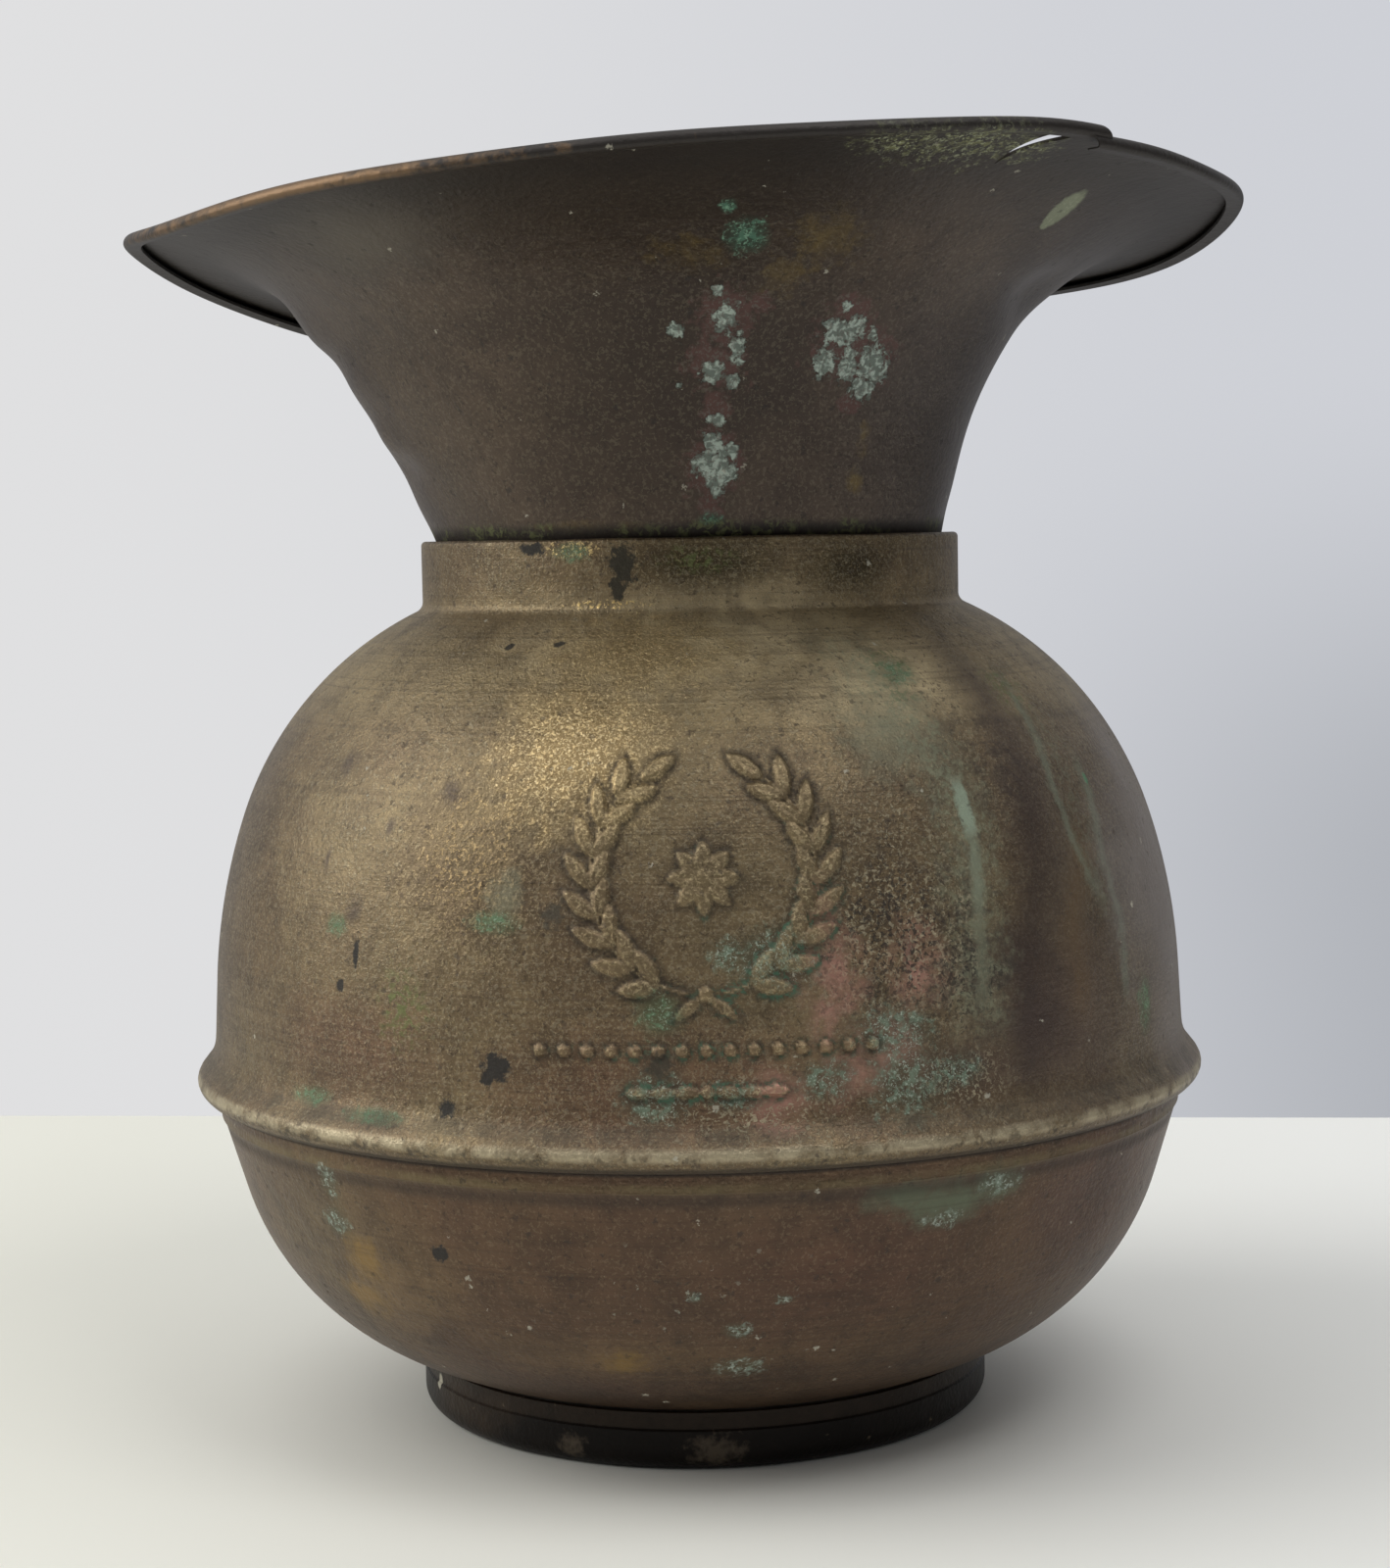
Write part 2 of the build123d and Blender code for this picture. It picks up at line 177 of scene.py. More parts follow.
glow = calc(room, "ADD", calc(room, "ADD", ceiling, far_side), 0.01)
glow = add(room, "ShaderNodeVectorMath", {0: (0.985, 0.99, 1.0), "Scale": glow}, operation="SCALE").outputs[0]
mirrored = calc(room, "MULTIPLY", rays.outputs["Is Glossy Ray"],
                calc(room, "MULTIPLY", ramp(room, way.outputs[1], 0.3, 1.0), 0.5))
seen = calc(room, "MAXIMUM", calc(room, "MAXIMUM", rays.outputs["Is Camera Ray"],
                                  rays.outputs["Is Transmission Ray"]), mirrored)
room.links.new(blend_colour(room, seen, glow, wall), room.nodes["Background"].inputs["Color"])


# %% Lamps
def lamp(name, place, aim, width, power, tint):
    """A square soft lamp that looks at a point."""
    light = bpy.data.lights.new(name, "AREA")
    light.size = width
    light.energy = power
    light.color = tint
    made = bpy.data.objects.new(name, light)
    bpy.context.scene.collection.objects.link(made)
    made.location = place
    line = [a - b for a, b in zip(place, aim)]
    reach = math.hypot(line[0], line[1])
    made.rotation_euler = (math.atan2(reach, line[2]), 0, math.atan2(line[0], -line[1]))
    return made


window_lamp = lamp("window_lamp", (-1.4, -0.1, 0.8), (0, 0, 0.12), 1.0, 11.8, (1.0, 0.985, 0.94))
high_lamp = lamp("high_lamp", (-0.8, -0.3, 1.6), (0, 0, 0.12), 1.2, 6.3, (1.0, 0.985, 0.95))
ceiling_lamp = lamp("ceiling_lamp", (0.0, 0.2, 2.0), (0, 0, 0.12), 1.5, 2.0, (1.0, 1.0, 1.0))
front_lamp = lamp("front_lamp", (0.5, -0.6, 1.6), (0, 0, 0.12), 0.8, 7.2, (1.0, 0.99, 0.97))
print("lamps:", window_lamp.name, high_lamp.name, ceiling_lamp.name, front_lamp.name)

# %% [markdown]
# ## Spinning a section
# A metal spinner presses a flat disc over a turning form, so each piece is one outline spun about the
# axis. The outline is drawn with a pencil that knows its heading: lines and bends then meet smoothly,
# which hand-placed points seldom do. The spin itself is Blender's own, from a ring of vertices that is
# pulled into the outline. Its steps are small only where fine detail will be pressed.

# %% A pencil for outlines
sheet = 0.7                     # mm of brass


class Pencil:
    """Draws a section as rows of (radius, height, outwards radius, outwards height), in mm."""

    def __init__(self, radius, height, heading):
        self.radius, self.height, self.heading = radius, height, heading
        self.rows = []
        self.note()

    def note(self):
        outwards = math.radians(self.heading - 90)
        self.rows.append((self.radius, self.height, math.cos(outwards), math.sin(outwards)))

    def line(self, length, steps=1):
        for _ in range(steps):
            self.radius += math.cos(math.radians(self.heading)) * length / steps
            self.height += math.sin(math.radians(self.heading)) * length / steps
            self.note()
        return self

    def bend(self, bend_radius, turn, steps):
        side = math.copysign(1, turn)
        for _ in range(steps):
            start = math.radians(self.heading)
            self.heading += turn / steps
            end = math.radians(self.heading)
            self.radius += side * bend_radius * (math.sin(end) - math.sin(start))
            self.height -= side * bend_radius * (math.cos(end) - math.cos(start))
            self.note()
        return self

    def go(self, radius, height, heading, steps=1):
        start = self.radius, self.height
        self.heading = heading
        for step in range(steps):
            self.radius = start[0] + (radius - start[0]) * (step + 1) / steps
            self.height = start[1] + (height - start[1]) * (step + 1) / steps
            self.note()
        return self


# %% The spin
def lathe(name, section, start, sectors):
    """Spin a closed section about +Z. Sectors are (degrees, steps), from an azimuth in degrees on."""
    bpy.ops.object.select_all(action="DESELECT")
    bpy.ops.mesh.primitive_circle_add(vertices=len(section), fill_type="NOTHING")
    piece = bpy.context.object
    piece.name = piece.data.name = name
    side = math.radians(start)
    for vertex, row in zip(piece.data.vertices, section):
        vertex.co = (row[0] * mm * math.cos(side), row[0] * mm * math.sin(side), row[1] * mm)
    bpy.ops.object.mode_set(mode="EDIT")
    bpy.ops.mesh.select_mode(type="VERT")
    bpy.ops.mesh.select_all(action="SELECT")
    for turn, steps in sectors:
        bpy.ops.mesh.spin(steps=steps, angle=-math.radians(turn), center=(0, 0, 0), axis=(0, 0, 1),
                          use_auto_merge=False)
    bpy.ops.object.mode_set(mode="OBJECT")
    return piece


def places(piece, section):
    """A spun piece's vertices as an array of (column, row, xyz), in mm."""
    flat = np.empty(len(piece.data.vertices) * 3)
    piece.data.vertices.foreach_get("co", flat)
    return flat.reshape(-1, len(section), 3) / mm


def put_back(piece, points):
    """Give the vertices their new places, in mm."""
    piece.data.vertices.foreach_set("co", (points * mm).ravel())
    piece.data.update()


def weld(piece, smooth_angle=40.0):
    """Merge the spin's start with its end and its poles, turn the faces outwards, and shade it smooth."""
    bpy.ops.object.select_all(action="DESELECT")
    piece.select_set(True)
    bpy.context.view_layer.objects.active = piece
    bpy.ops.object.mode_set(mode="EDIT")
    bpy.ops.mesh.select_all(action="SELECT")
    bpy.ops.mesh.remove_doubles(threshold=0.004 * mm)
    bpy.ops.mesh.dissolve_degenerate(threshold=0.001 * mm)
    bpy.ops.mesh.select_all(action="SELECT")
    bpy.ops.mesh.normals_make_consistent(inside=False)
    bpy.ops.object.mode_set(mode="OBJECT")
    bpy.ops.object.shade_smooth_by_angle(angle=math.radians(smooth_angle))
    print(piece.name, len(piece.data.polygons), "faces")


def outwards(section, points):
    """The unit step away from the sheet's middle for each vertex of a spun piece."""
    rows = np.array(section)
    side = np.arctan2(points[..., 1], points[..., 0])
    return np.stack([rows[:, 2] * np.cos(side), rows[:, 2] * np.sin(side),
                     np.broadcast_to(rows[:, 3], side.shape)], -1)


def note_on(piece, name, values):
    """Keep a number at each vertex, for a material to read."""
    piece.data.attributes.new(name, "FLOAT", "POINT").data.foreach_set("value", values.ravel())


# %% [markdown]
# ## Dents
# A thin sheet that was knocked keeps shallow dents. Each is a soft bell shape, pushed in or out along the
# sheet's own outward direction, on both faces of the sheet alike, so that its thickness stays. They are
# named by their place on the piece: degrees round from the front, towards the right, and height.


# %% Dents
def round_from_front(points):
    """Degrees round from the front, towards the right."""
    return np.degrees(np.arctan2(points[..., 0], -points[..., 1]))


def press_dents(points, push, dents):
    """Move vertices by dents, each (degrees from the front, height, half width, half height, rise) in mm."""
    side = round_from_front(points)
    radius = np.hypot(points[..., 0], points[..., 1])
    rise = np.zeros(side.shape)
    for angle, height, half_width, half_height, amount in dents:
        aside = np.radians((side - angle + 180) % 360 - 180) * radius / half_width
        above = (points[..., 2] - height) / half_height
        rise += amount * np.exp(-aside ** 2 - above ** 2)
    return points + push * rise[..., None]


# %% [markdown]
# ## The bowl
# The lower half is a spun bowl with a narrow upright lip that shows under the bead and laps up inside it.
# Its section is two bends and a straight cone. A soft groove under the lip is where the spinner set the
# lip out. It is spun as one closed section, outside and inside, so that the sheet has its real thickness.

# %% Bowl section
bowl_flat_radius = 30.3
bowl_floor = 7.6
bowl_base_bend, bowl_base_turn = 97.6, 24.7       # mm of bend radius, degrees
bowl_belly_bend, bowl_belly_turn = 59.4, 48.7
bowl_cone_length = 16.2
bowl_lip_radius = 108.25
bowl_lip_step, bowl_lip_groove = 0.35, 3.4        # mm that the lip is set out over, and that its groove is high
bowl_lip_top = 85.4


def bowl_side(inset):
    """One face of the bowl's sheet, from the middle of the floor up to the top of the lip."""
    pencil = Pencil(0, bowl_floor + inset, 0).line(bowl_flat_radius, 6)
    pencil.bend(bowl_base_bend - inset, bowl_base_turn, 16).bend(bowl_belly_bend - inset, bowl_belly_turn, 24)
    lip_foot = pencil.line(bowl_cone_length, 10).height
    lip_length = bowl_lip_top - lip_foot - bowl_lip_step - bowl_lip_groove
    pencil.go(bowl_lip_radius - inset, lip_foot + bowl_lip_step, 90)
    return pencil.line(bowl_lip_groove, 6).line(lip_length, 4).rows


bowl_outside = bowl_side(0)
bowl_section = bowl_outside + bowl_side(sheet)[::-1]
print("bowl:", len(bowl_section), "points in the section")

# %% Spin the bowl
bowl_dents = [(-55, 50, 16, 9, -0.5), (20, 38, 22, 7, -0.4), (48, 56, 12, 8, -0.6), (-12, 60, 18, 5, 0.25),
              (160, 50, 25, 10, -0.6), (100, 40, 18, 9, -0.5)]
bowl = lathe("bowl_shell", bowl_section, -90, [(360, 264)])
points = places(bowl, bowl_section)
points = press_dents(points, outwards(bowl_section, points), bowl_dents)
put_back(bowl, points)
weld(bowl)
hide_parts("lower_shell")
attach(bowl, "bowl")

# %% [markdown]
# ## The upper half
# It is one sheet from the bead's edge to the collar: a rolled bead, an almost upright wall, a haunch, a
# round shoulder, a small fillet and the upright collar, whose top edge turns in. The front sector gets
# half-millimetre steps for the ornament; the back needs only a few degrees a step.

# %% Upper section
bead_middle = (106.33, 77.59)
bead_reach = 7.3
bead_half_height = 4.5
bead_edge_radius = 108.4
wall_foot = (109.30, 81.70)
wall_lean, wall_length = 93.0, 18.2               # degrees from level, mm
haunch_bend, haunch_turn = 130.6, 16.25
shoulder_middle = (29.01, 110.88)
shoulder_bend = 76.5
collar_radius = 60.35
collar_top = 195.66
collar_edge_bend = 1.0
neck_fillet = 2.5
collar_hole = 57.25


def bead_side(inset, steps):
    """One face of the bead's oval roll, from the seam up to the wall."""
    reach, half = bead_reach - inset, bead_half_height - inset
    first = -math.acos((bead_edge_radius - bead_middle[0]) / reach)
    last = math.acos((wall_foot[0] - inset - bead_middle[0]) / reach)
    rows = []
    for step in range(steps):
        turn = first + (last - first) * step / steps
        across, up = math.cos(turn) / reach, math.sin(turn) / half
        size = math.hypot(across, up)
        rows.append((bead_middle[0] + reach * math.cos(turn), bead_middle[1] + half * math.sin(turn),
                     across / size, up / size))
    return rows


def wall_side(inset, wall_steps, haunch_steps, fine_steps, coarse_steps, fillet_steps):
    """One face of the wall, haunch, shoulder and neck fillet, up to the foot of the collar."""
    pencil = Pencil(wall_foot[0] - inset, wall_foot[1], wall_lean).line(wall_length, wall_steps)
    pencil.bend(haunch_bend - inset, haunch_turn, haunch_steps)
    fillet_radius = collar_radius + neck_fillet
    neck_turn = math.degrees(math.acos((fillet_radius - shoulder_middle[0]) / (shoulder_bend + neck_fillet)))
    fine_turn = 22.0             # degrees of the shoulder that the ornament's fine steps reach into
    pencil.bend(shoulder_bend - inset, fine_turn, fine_steps)
    pencil.bend(shoulder_bend - inset, neck_turn - (wall_lean + haunch_turn - 90) - fine_turn, coarse_steps)
    pencil.bend(neck_fillet + inset, -neck_turn, fillet_steps)
    return pencil


def ease(rows, place, reach, times):
    """Round a corner of a section: average its points with their neighbours near one place."""
    rows = np.array(rows)
    for _ in range(times):
        away = np.hypot(rows[:, 0] - place[0], rows[:, 1] - place[1])
        share = 0.5 * np.clip(1.5 - away / reach, 0, 1)
        middle = (np.roll(rows, 1, 0) + np.roll(rows, -1, 0)) / 2
        share[0] = share[-1] = 0
        rows = rows + (middle - rows) * share[:, None]
    return [tuple(row) for row in rows]


bead_steps = 26
upper_outside = bead_side(0, bead_steps) + wall_side(0, 36, 74, 58, 26, 8).rows
upper_outside = ease(upper_outside, wall_foot, 5.0, 60)
outer_neck = upper_outside[-1]
collar = Pencil(collar_radius, outer_neck[1], 90).line(collar_top - collar_edge_bend - outer_neck[1], 9)
collar.bend(collar_edge_bend, 90, 5).go(collar_hole, collar_top, 180)
collar_inside = Pencil(collar_hole, collar_top - sheet, 180)
collar_inside.go(collar_radius - collar_edge_bend, collar_top - sheet, 180)
collar_inside.go(collar_radius - sheet, collar_top - collar_edge_bend, 90)
upper_inside = bead_side(sheet, 10) + wall_side(sheet, 4, 9, 7, 10, 4).rows
turned_in = [row[:2] + (1.0, 0.0) for row in collar_inside.rows]
upper_section = upper_outside + collar.rows[1:] + turned_in + upper_inside[::-1]
print("upper half:", len(upper_section), "points in the section")

# %% [markdown]
# ## The pressed wreath
# The front carries pressed ornament: two laurel branches tied with a ribbon, a small rosette, a row of
# pearls and a leaf sprig. It could be cut as separate solids, but a pressed sheet swells softly from the
# ground, so here each shape gives a height, and the spun wall is lifted by the highest of them. How deep
# a point lies inside a shape sets its lift; how near it lies outside gives the dirt line round the shape.

# %% Shapes of the ornament, drawn flat in mm, seen from the front
relief = 1.05                   # mm that the highest shape stands out
edge_width = 1.15               # mm over which a shape's edge swells up


def lens(across, up, foot, angle, length, width):
    """How far inside a pointed leaf each point lies, its share along the leaf, and its place across it."""
    turn = math.radians(angle)
    along = (across - foot[0]) * math.cos(turn) + (up - foot[1]) * math.sin(turn)
    aside = (up - foot[1]) * math.cos(turn) - (across - foot[0]) * math.sin(turn)
    bow = width / 2
    round_radius = (length ** 2 / 4 + bow ** 2) / (2 * bow)
    inside = np.clip(along, 0, length)
    half = np.sqrt(round_radius ** 2 - (inside - length / 2) ** 2) - (round_radius - bow)
    depth = half - np.hypot(aside, along - inside)
    return depth, inside / length, aside


def swell(depth):
    """Lift from depth inside a shape: a soft edge, then level."""
    share = np.clip(depth / edge_width, 0, 1)
    return share * share * (3 - 2 * share)


def leaf(across, up, foot, angle, length, width, vein=0.3):
    """A leaf with a raised crown and a groove along its middle."""
    depth, share, aside = lens(across, up, foot, angle, length, width)
    crown = 0.72 + 0.28 * np.sin(np.pi * np.clip(share, 0, 1))
    side_veins = 0.06 * np.cos(2 * np.pi * (share * 5.0 - np.abs(aside) / width * 1.6))
    groove = vein * np.exp(-(aside / 0.34) ** 2) * np.clip(1.15 - share, 0, 1)
    return depth, swell(depth) * (crown + side_veins - groove)


def dome(across, up, middle, radius):
    """A round pearl."""
    away = np.hypot(across - middle[0], up - middle[1])
    return radius - away, np.sqrt(np.clip(1 - (away / radius) ** 2, 0, 1))


# %% The whole ornament
wreath_middle = (1.5, 129.99)
wreath_radius = 22.0
wreath_start, wreath_end = -82.0, 57.0            # degrees above level, on each side
stem_half_width = 0.65
leaf_pairs, leaf_size, leaf_spread = 9, (9.6, 4.0), 31
berry_ring, berry_radius, berry_ahead = 23.4, 0.75, 4.5
ribbon_slope, ribbon_size, knot_radius = -38, (8.5, 3.0), 1.5
petals, petal_size, rosette_heart = 8, (7.4, 4.2), 2.4
pearl_height, pearls, pearl_pitch, pearl_radius = 97.19, 15, 4.6, 1.3
sprig_height, sprig_pairs, sprig_pitch, sprig_leaf = 89.19, 3, 4.533, (6.8, 3.0)
degree = 0.0175                 # in radians


def ornament(across, up):
    """Depth inside the nearest shape and lift, for points given across and up, in mm."""
    best = np.full(across.shape, -99.0)
    lift = np.zeros(across.shape)

    def lay(shape, height=1.0):
        nonlocal best, lift
        best = np.maximum(best, shape[0])
        lift = np.maximum(lift, shape[1] * height)

    right = across - wreath_middle[0]
    rise = up - wreath_middle[1]
    turn = wreath_end - wreath_start
    for side in (1, -1):
        over = right * side
        ring = np.hypot(over, rise)
        swing = np.degrees(np.arctan2(rise, over))
        stem_end = np.minimum(swing - wreath_start, wreath_end - swing) * ring * degree
        stem_depth = np.minimum(stem_half_width - np.abs(ring - wreath_radius), stem_end)
        lay((stem_depth, swell(stem_depth * 1.3)), 0.6)
        for pair in range(leaf_pairs):
            angle = wreath_start + turn * (pair + 1) / leaf_pairs
            away = math.radians(angle)
            foot = (wreath_radius * math.cos(away), wreath_radius * math.sin(away))
            spreads = [0] if pair == leaf_pairs - 1 else [leaf_spread, -leaf_spread]
            for spread in spreads:
                heading = math.radians(angle + 90 + spread)
                set_back = (foot[0] - stem_half_width * math.cos(heading),
                            foot[1] - stem_half_width * math.sin(heading))
                lay(leaf(over, rise, set_back, angle + 90 + spread, *leaf_size))
            if 0 < pair < leaf_pairs - 1:
                berry = math.radians(angle + berry_ahead)
                middle = (berry_ring * math.cos(berry), berry_ring * math.sin(berry))
                lay(dome(over, rise, middle, berry_radius), 0.75)
        lay(leaf(over, rise, (0, -wreath_radius), ribbon_slope, *ribbon_size, 0.45), 0.85)
    lay(dome(right, rise, (0, -wreath_radius), knot_radius))
    for petal in range(petals):
        lay(leaf(right, rise, (0, 0), 360 / petals * petal, *petal_size, 0.4), 0.9)
    lay(dome(right, rise, (0, 0), rosette_heart))
    for place in range(pearls):
        lay(dome(right, up - pearl_height, ((place - pearls // 2) * pearl_pitch, 0), pearl_radius))
    for side in (1, -1):
        for place in range(sprig_pairs):
            lay(leaf(right * side, up - sprig_height, (stem_half_width + place * sprig_pitch, 0), 0,
                     *sprig_leaf))
    lay(dome(right, up - sprig_height, (0, 0), pearl_radius))
    return best, lift * relief


# %% Spin the upper half and press its ornament and dents
upper_sectors = [(42, 154), (54, 36), (210, 72), (54, 36)]   # degrees and steps, from the ornament's left side
upper_dents = [(36, 141, 4, 26, -0.55), (43, 132, 5, 24, 0.35), (50, 125, 5, 30, -0.5), (61, 118, 7, 24, 0.3),
               (-52, 150, 14, 14, -0.5), (-38, 120, 16, 20, -0.35), (22, 158, 16, 10, -0.3),
               (-18, 168, 18, 8, -0.3), (75, 150, 12, 16, -0.6), (150, 140, 25, 20, -0.8),
               (-120, 120, 22, 18, -0.6), (-160, 165, 20, 9, -0.5), (105, 110, 18, 16, -0.5)]
collar_dents = [(-30, 193.5, 7, 2.6, -0.35), (-2, 194, 9, 2.5, -0.22), (38, 193, 8, 3, -0.3),
                (120, 193, 9, 3, -0.4), (-140, 193, 9, 3, -0.3)]
dirt_reach, dirt_depth = 0.8, 0.06                # mm round the ornament
upper = lathe("upper_half", upper_section, -111, upper_sectors)
points = places(upper, upper_section)
push = outwards(upper_section, points)
row_number = np.arange(len(upper_section))
pressed_rows = (row_number > bead_steps) & (row_number < len(upper_outside) - 20)
facing = (points[..., 1] < 0) & (np.abs(points[..., 0]) < 40) & pressed_rows
depth, lift = ornament(points[..., 0], points[..., 2])
lift = np.where(facing, lift, 0.0)
near = np.where(facing, np.exp(-(np.clip(-depth, 0, None) / dirt_reach) ** 2) * (lift < 0.25), 0.0)
note_on(upper, "raised", lift / relief)
note_on(upper, "crevice", near)
points = press_dents(points, push, upper_dents + collar_dents)
put_back(upper, points + push * (lift - dirt_depth * near)[..., None])
weld(upper)
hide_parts("upper_shell")
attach(upper, "bowl")

# %% [markdown]
# ## The foot ring
# A stepped band with its top flanged in under the bowl and its toe rolled in on the table. The packed
# piece has the right shape, but a coarse one, so the same section is spun finer, with three shallow
# knocks in its edge.

# %% Foot ring
foot_sheet = 1.0
foot_radius, band_radius = 64.3, 63.9             # below the step and above it
step_low, step_high = 8.8, 9.2
toe_bend, toe_flat = 4.2, 1.2
flange_gap, flange_edge, flange_hole = 0.3, 63.3, 52.9
flange_steps = 5


def under_bowl(radius, depth):
    """The height at a radius, a depth below the bowl's underside."""
    across = radius - bowl_flat_radius
    return bowl_floor + bowl_base_bend - math.sqrt((bowl_base_bend + depth) ** 2 - across ** 2)


foot = Pencil(foot_radius - toe_bend - toe_flat, 0, 0).line(toe_flat).bend(toe_bend, 90, 10)
foot.go(foot_radius, step_low, 90, 3).go(band_radius, step_high, 90, 2)
foot.go(band_radius, under_bowl(band_radius, flange_gap) - 0.5, 90, 4)
foot.go(flange_edge, under_bowl(flange_edge, flange_gap), 180)
for step in range(flange_steps):
    radius = flange_edge - (flange_edge - flange_hole) * (step + 1) / flange_steps
    foot.go(radius, under_bowl(radius, flange_gap), 190)
foot_back = Pencil(flange_hole, under_bowl(flange_hole, flange_gap + foot_sheet), 0)
for step in range(flange_steps):
    radius = flange_hole + (band_radius - foot_sheet - flange_hole) * (step + 1) / flange_steps
    foot_back.go(radius, under_bowl(radius, flange_gap + foot_sheet), 10)
foot_back.go(band_radius - foot_sheet, step_high, 270, 3).go(foot_radius - foot_sheet, step_low, 270)
foot_back.go(foot_radius - foot_sheet, toe_bend, 270, 2).bend(toe_bend - foot_sheet, -90, 8).line(toe_flat)
foot_section = foot.rows + foot_back.rows

foot_dents = [(-30, 3, 8, 3, -0.35), (25, 2.5, 10, 3, -0.3), (140, 3, 10, 3, -0.4)]
foot_ring = lathe("foot_band", foot_section, -90, [(360, 216)])
points = places(foot_ring, foot_section)
radial = points * np.array([1.0, 1.0, 0.0])
radial /= np.linalg.norm(radial, axis=-1, keepdims=True)
put_back(foot_ring, press_dents(points, radial, foot_dents))
weld(foot_ring)
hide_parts("foot_ring")
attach(foot_ring, "bowl")

# %% [markdown]
# ## The funnel
# The loose funnel is an upright spigot, a leaning cone, a bell bend and a nearly flat brim whose edge is
# rolled under. It is spun like the others, starting at the tear, with the start and end columns left
# apart across the brim. Then it is leaned, swayed and bent as one: hand-bending has put its brim out of
# level and out of flat.

# %% Funnel section
funnel_tear = -48.0             # degrees of azimuth
spigot_radius, spigot_length, spigot_bend = 56.36, 26.0, 2.0
cone_radius, cone_heading = 56.95, 73.6          # at the cone's foot
cone_bend, cone_turn = 178.3, 12.55
bell_bend, bell_turn = 47.1, 49.3
brim_length = 18.6
curl_bend, curl_turn, curl_tail = 1.35, 184, 2.6
curl_steps, tail_steps = 18, 3


def funnel_side(inset):
    """One face of the funnel's sheet, from the spigot's lower end to the tail of the rolled edge."""
    lean = math.radians(cone_heading + 90)
    radius, height = cone_radius + inset * math.cos(lean), inset * math.sin(lean)
    pencil = Pencil(spigot_radius - inset, -spigot_length, 90).go(spigot_radius - inset, -spigot_bend, 90, 8)
    pencil.go(radius, height, cone_heading, 2).bend(cone_bend + inset, -cone_turn, 34)
    pencil.bend(bell_bend + inset, -bell_turn, 40).line(brim_length, 22)
    return pencil.bend(curl_bend - sheet + inset, -curl_turn, curl_steps).line(curl_tail, tail_steps).rows


funnel_under = funnel_side(0)
funnel_over = funnel_side(sheet)
funnel_section = funnel_under + funnel_over[::-1]
side_length = len(funnel_under)
brim_lengths = np.cumsum([0] + [math.dist(a[:2], b[:2]) for a, b in zip(funnel_under, funnel_under[1:])])
rim_row = side_length - curl_steps - tail_steps - 1
tear_length = 20.0
tip_row = int(np.argmin(np.abs(brim_lengths - (brim_lengths[rim_row] - tear_length))))
print("funnel:", len(funnel_section), "points in the section, torn from row", tip_row)

# %% Spin the funnel, then lean, sway and tear it
brim_radius = 123.3
brim_lift = 0.48                # mm that the whole brim is raised
brim_height = 54.0              # mm above the collar, where the waves reach their whole size
brim_waves = [(3.58, -11.37), (2.66, -0.48), (-1.87, 0.80), (0.43, -0.41), (-0.33, 0.07), (0.74, -0.40),
              (0.38, -0.08), (0.18, 0.15), (-0.12, -0.22)]   # mm towards +X and +Y, for 1, 2, 3 ... waves round
tear_rise, tear_drop = 0.75, 1.15                 # mm that the torn edges stand up and hang down
tear_rise_spread, tear_drop_spread = 12.0, 8.0    # degrees
tear_lap, tear_gap = 0.9, 0.3   # degrees that each torn edge laps the other at the rim, and stands off inside
tear_lap_spread = 5.0
tear_skew = -5.5                # degrees that the tear runs askew at its inner end
skew_rows, skew_spread = 22.0, 14.0               # rows and degrees that the skew reaches
tear_thinned, thinned_spread = 0.55, 3.0          # share of the sheet's thickness that is lost, degrees
brim_droop = 4.0                # mm that the middle of the brim stands above a straight line
droop_width, droop_start = 40.0, 20.0             # mm in from the rim, and the height that it starts at
sway_reach, sway_height = 2.6, 63.0   # mm that the cone leans to the left half way up, and its height

funnel = lathe("loose_funnel", funnel_section, funnel_tear, [(360, 312)])
points = places(funnel, funnel_section)
push = outwards(funnel_section, points)
columns = points.shape[0]
turned = (np.arange(columns) / (columns - 1) * 360)[:, None]
past_tear = np.where(turned <= 180, turned, turned - 360)
under_rows = np.arange(len(funnel_section))
under_rows = np.where(under_rows < side_length, under_rows, len(funnel_section) - 1 - under_rows)
torn_share = np.clip((under_rows - tip_row) / (rim_row - tip_row), 0, 1)[None, :]

radius = np.hypot(points[..., 0], points[..., 1])
rise = points[..., 2]
azimuth = np.radians(funnel_tear + turned) * np.ones_like(radius)
depth_in = np.exp(-((under_rows - tip_row) / skew_rows) ** 2)[None, :] * np.exp(-(past_tear / skew_spread) ** 2)
skew = np.radians(tear_skew) * depth_in
lap = tear_lap * torn_share ** 6 - tear_gap * np.sin(np.pi * torn_share)
lap = np.radians(lap) * np.exp(-(past_tear / tear_lap_spread) ** 2) * np.where(turned <= 180, -1, 1)
azimuth = azimuth + skew + lap
inwards = np.clip((brim_radius - radius) / droop_width, 0, 1)
rise = rise + np.where(rise > droop_start, brim_droop * np.sin(np.pi * inwards) * (1 - inwards), 0)
height_share = np.clip(rise / brim_height, 0, 1)
bent = height_share ** 3 * brim_lift
for count, (towards_x, towards_y) in enumerate(brim_waves, 1):
    reach = height_share ** (1 if count == 1 else 3) * (radius / brim_radius) ** count
    bent = bent + reach * (towards_x * np.cos(count * azimuth) + towards_y * np.sin(count * azimuth))
share = np.clip((rise + spigot_bend) / sway_height, 0, 1)
sway = sway_reach * (1 - np.cos(np.radians(360 * share))) / 2
torn_edge = np.where(turned <= 180, -tear_drop * np.exp(-(past_tear / tear_drop_spread) ** 2),
                     tear_rise * np.exp(-(past_tear / tear_rise_spread) ** 2))
points = np.stack([radius * np.cos(azimuth) - sway, radius * np.sin(azimuth),
                   collar_top + rise + bent + torn_share * torn_edge], -1)
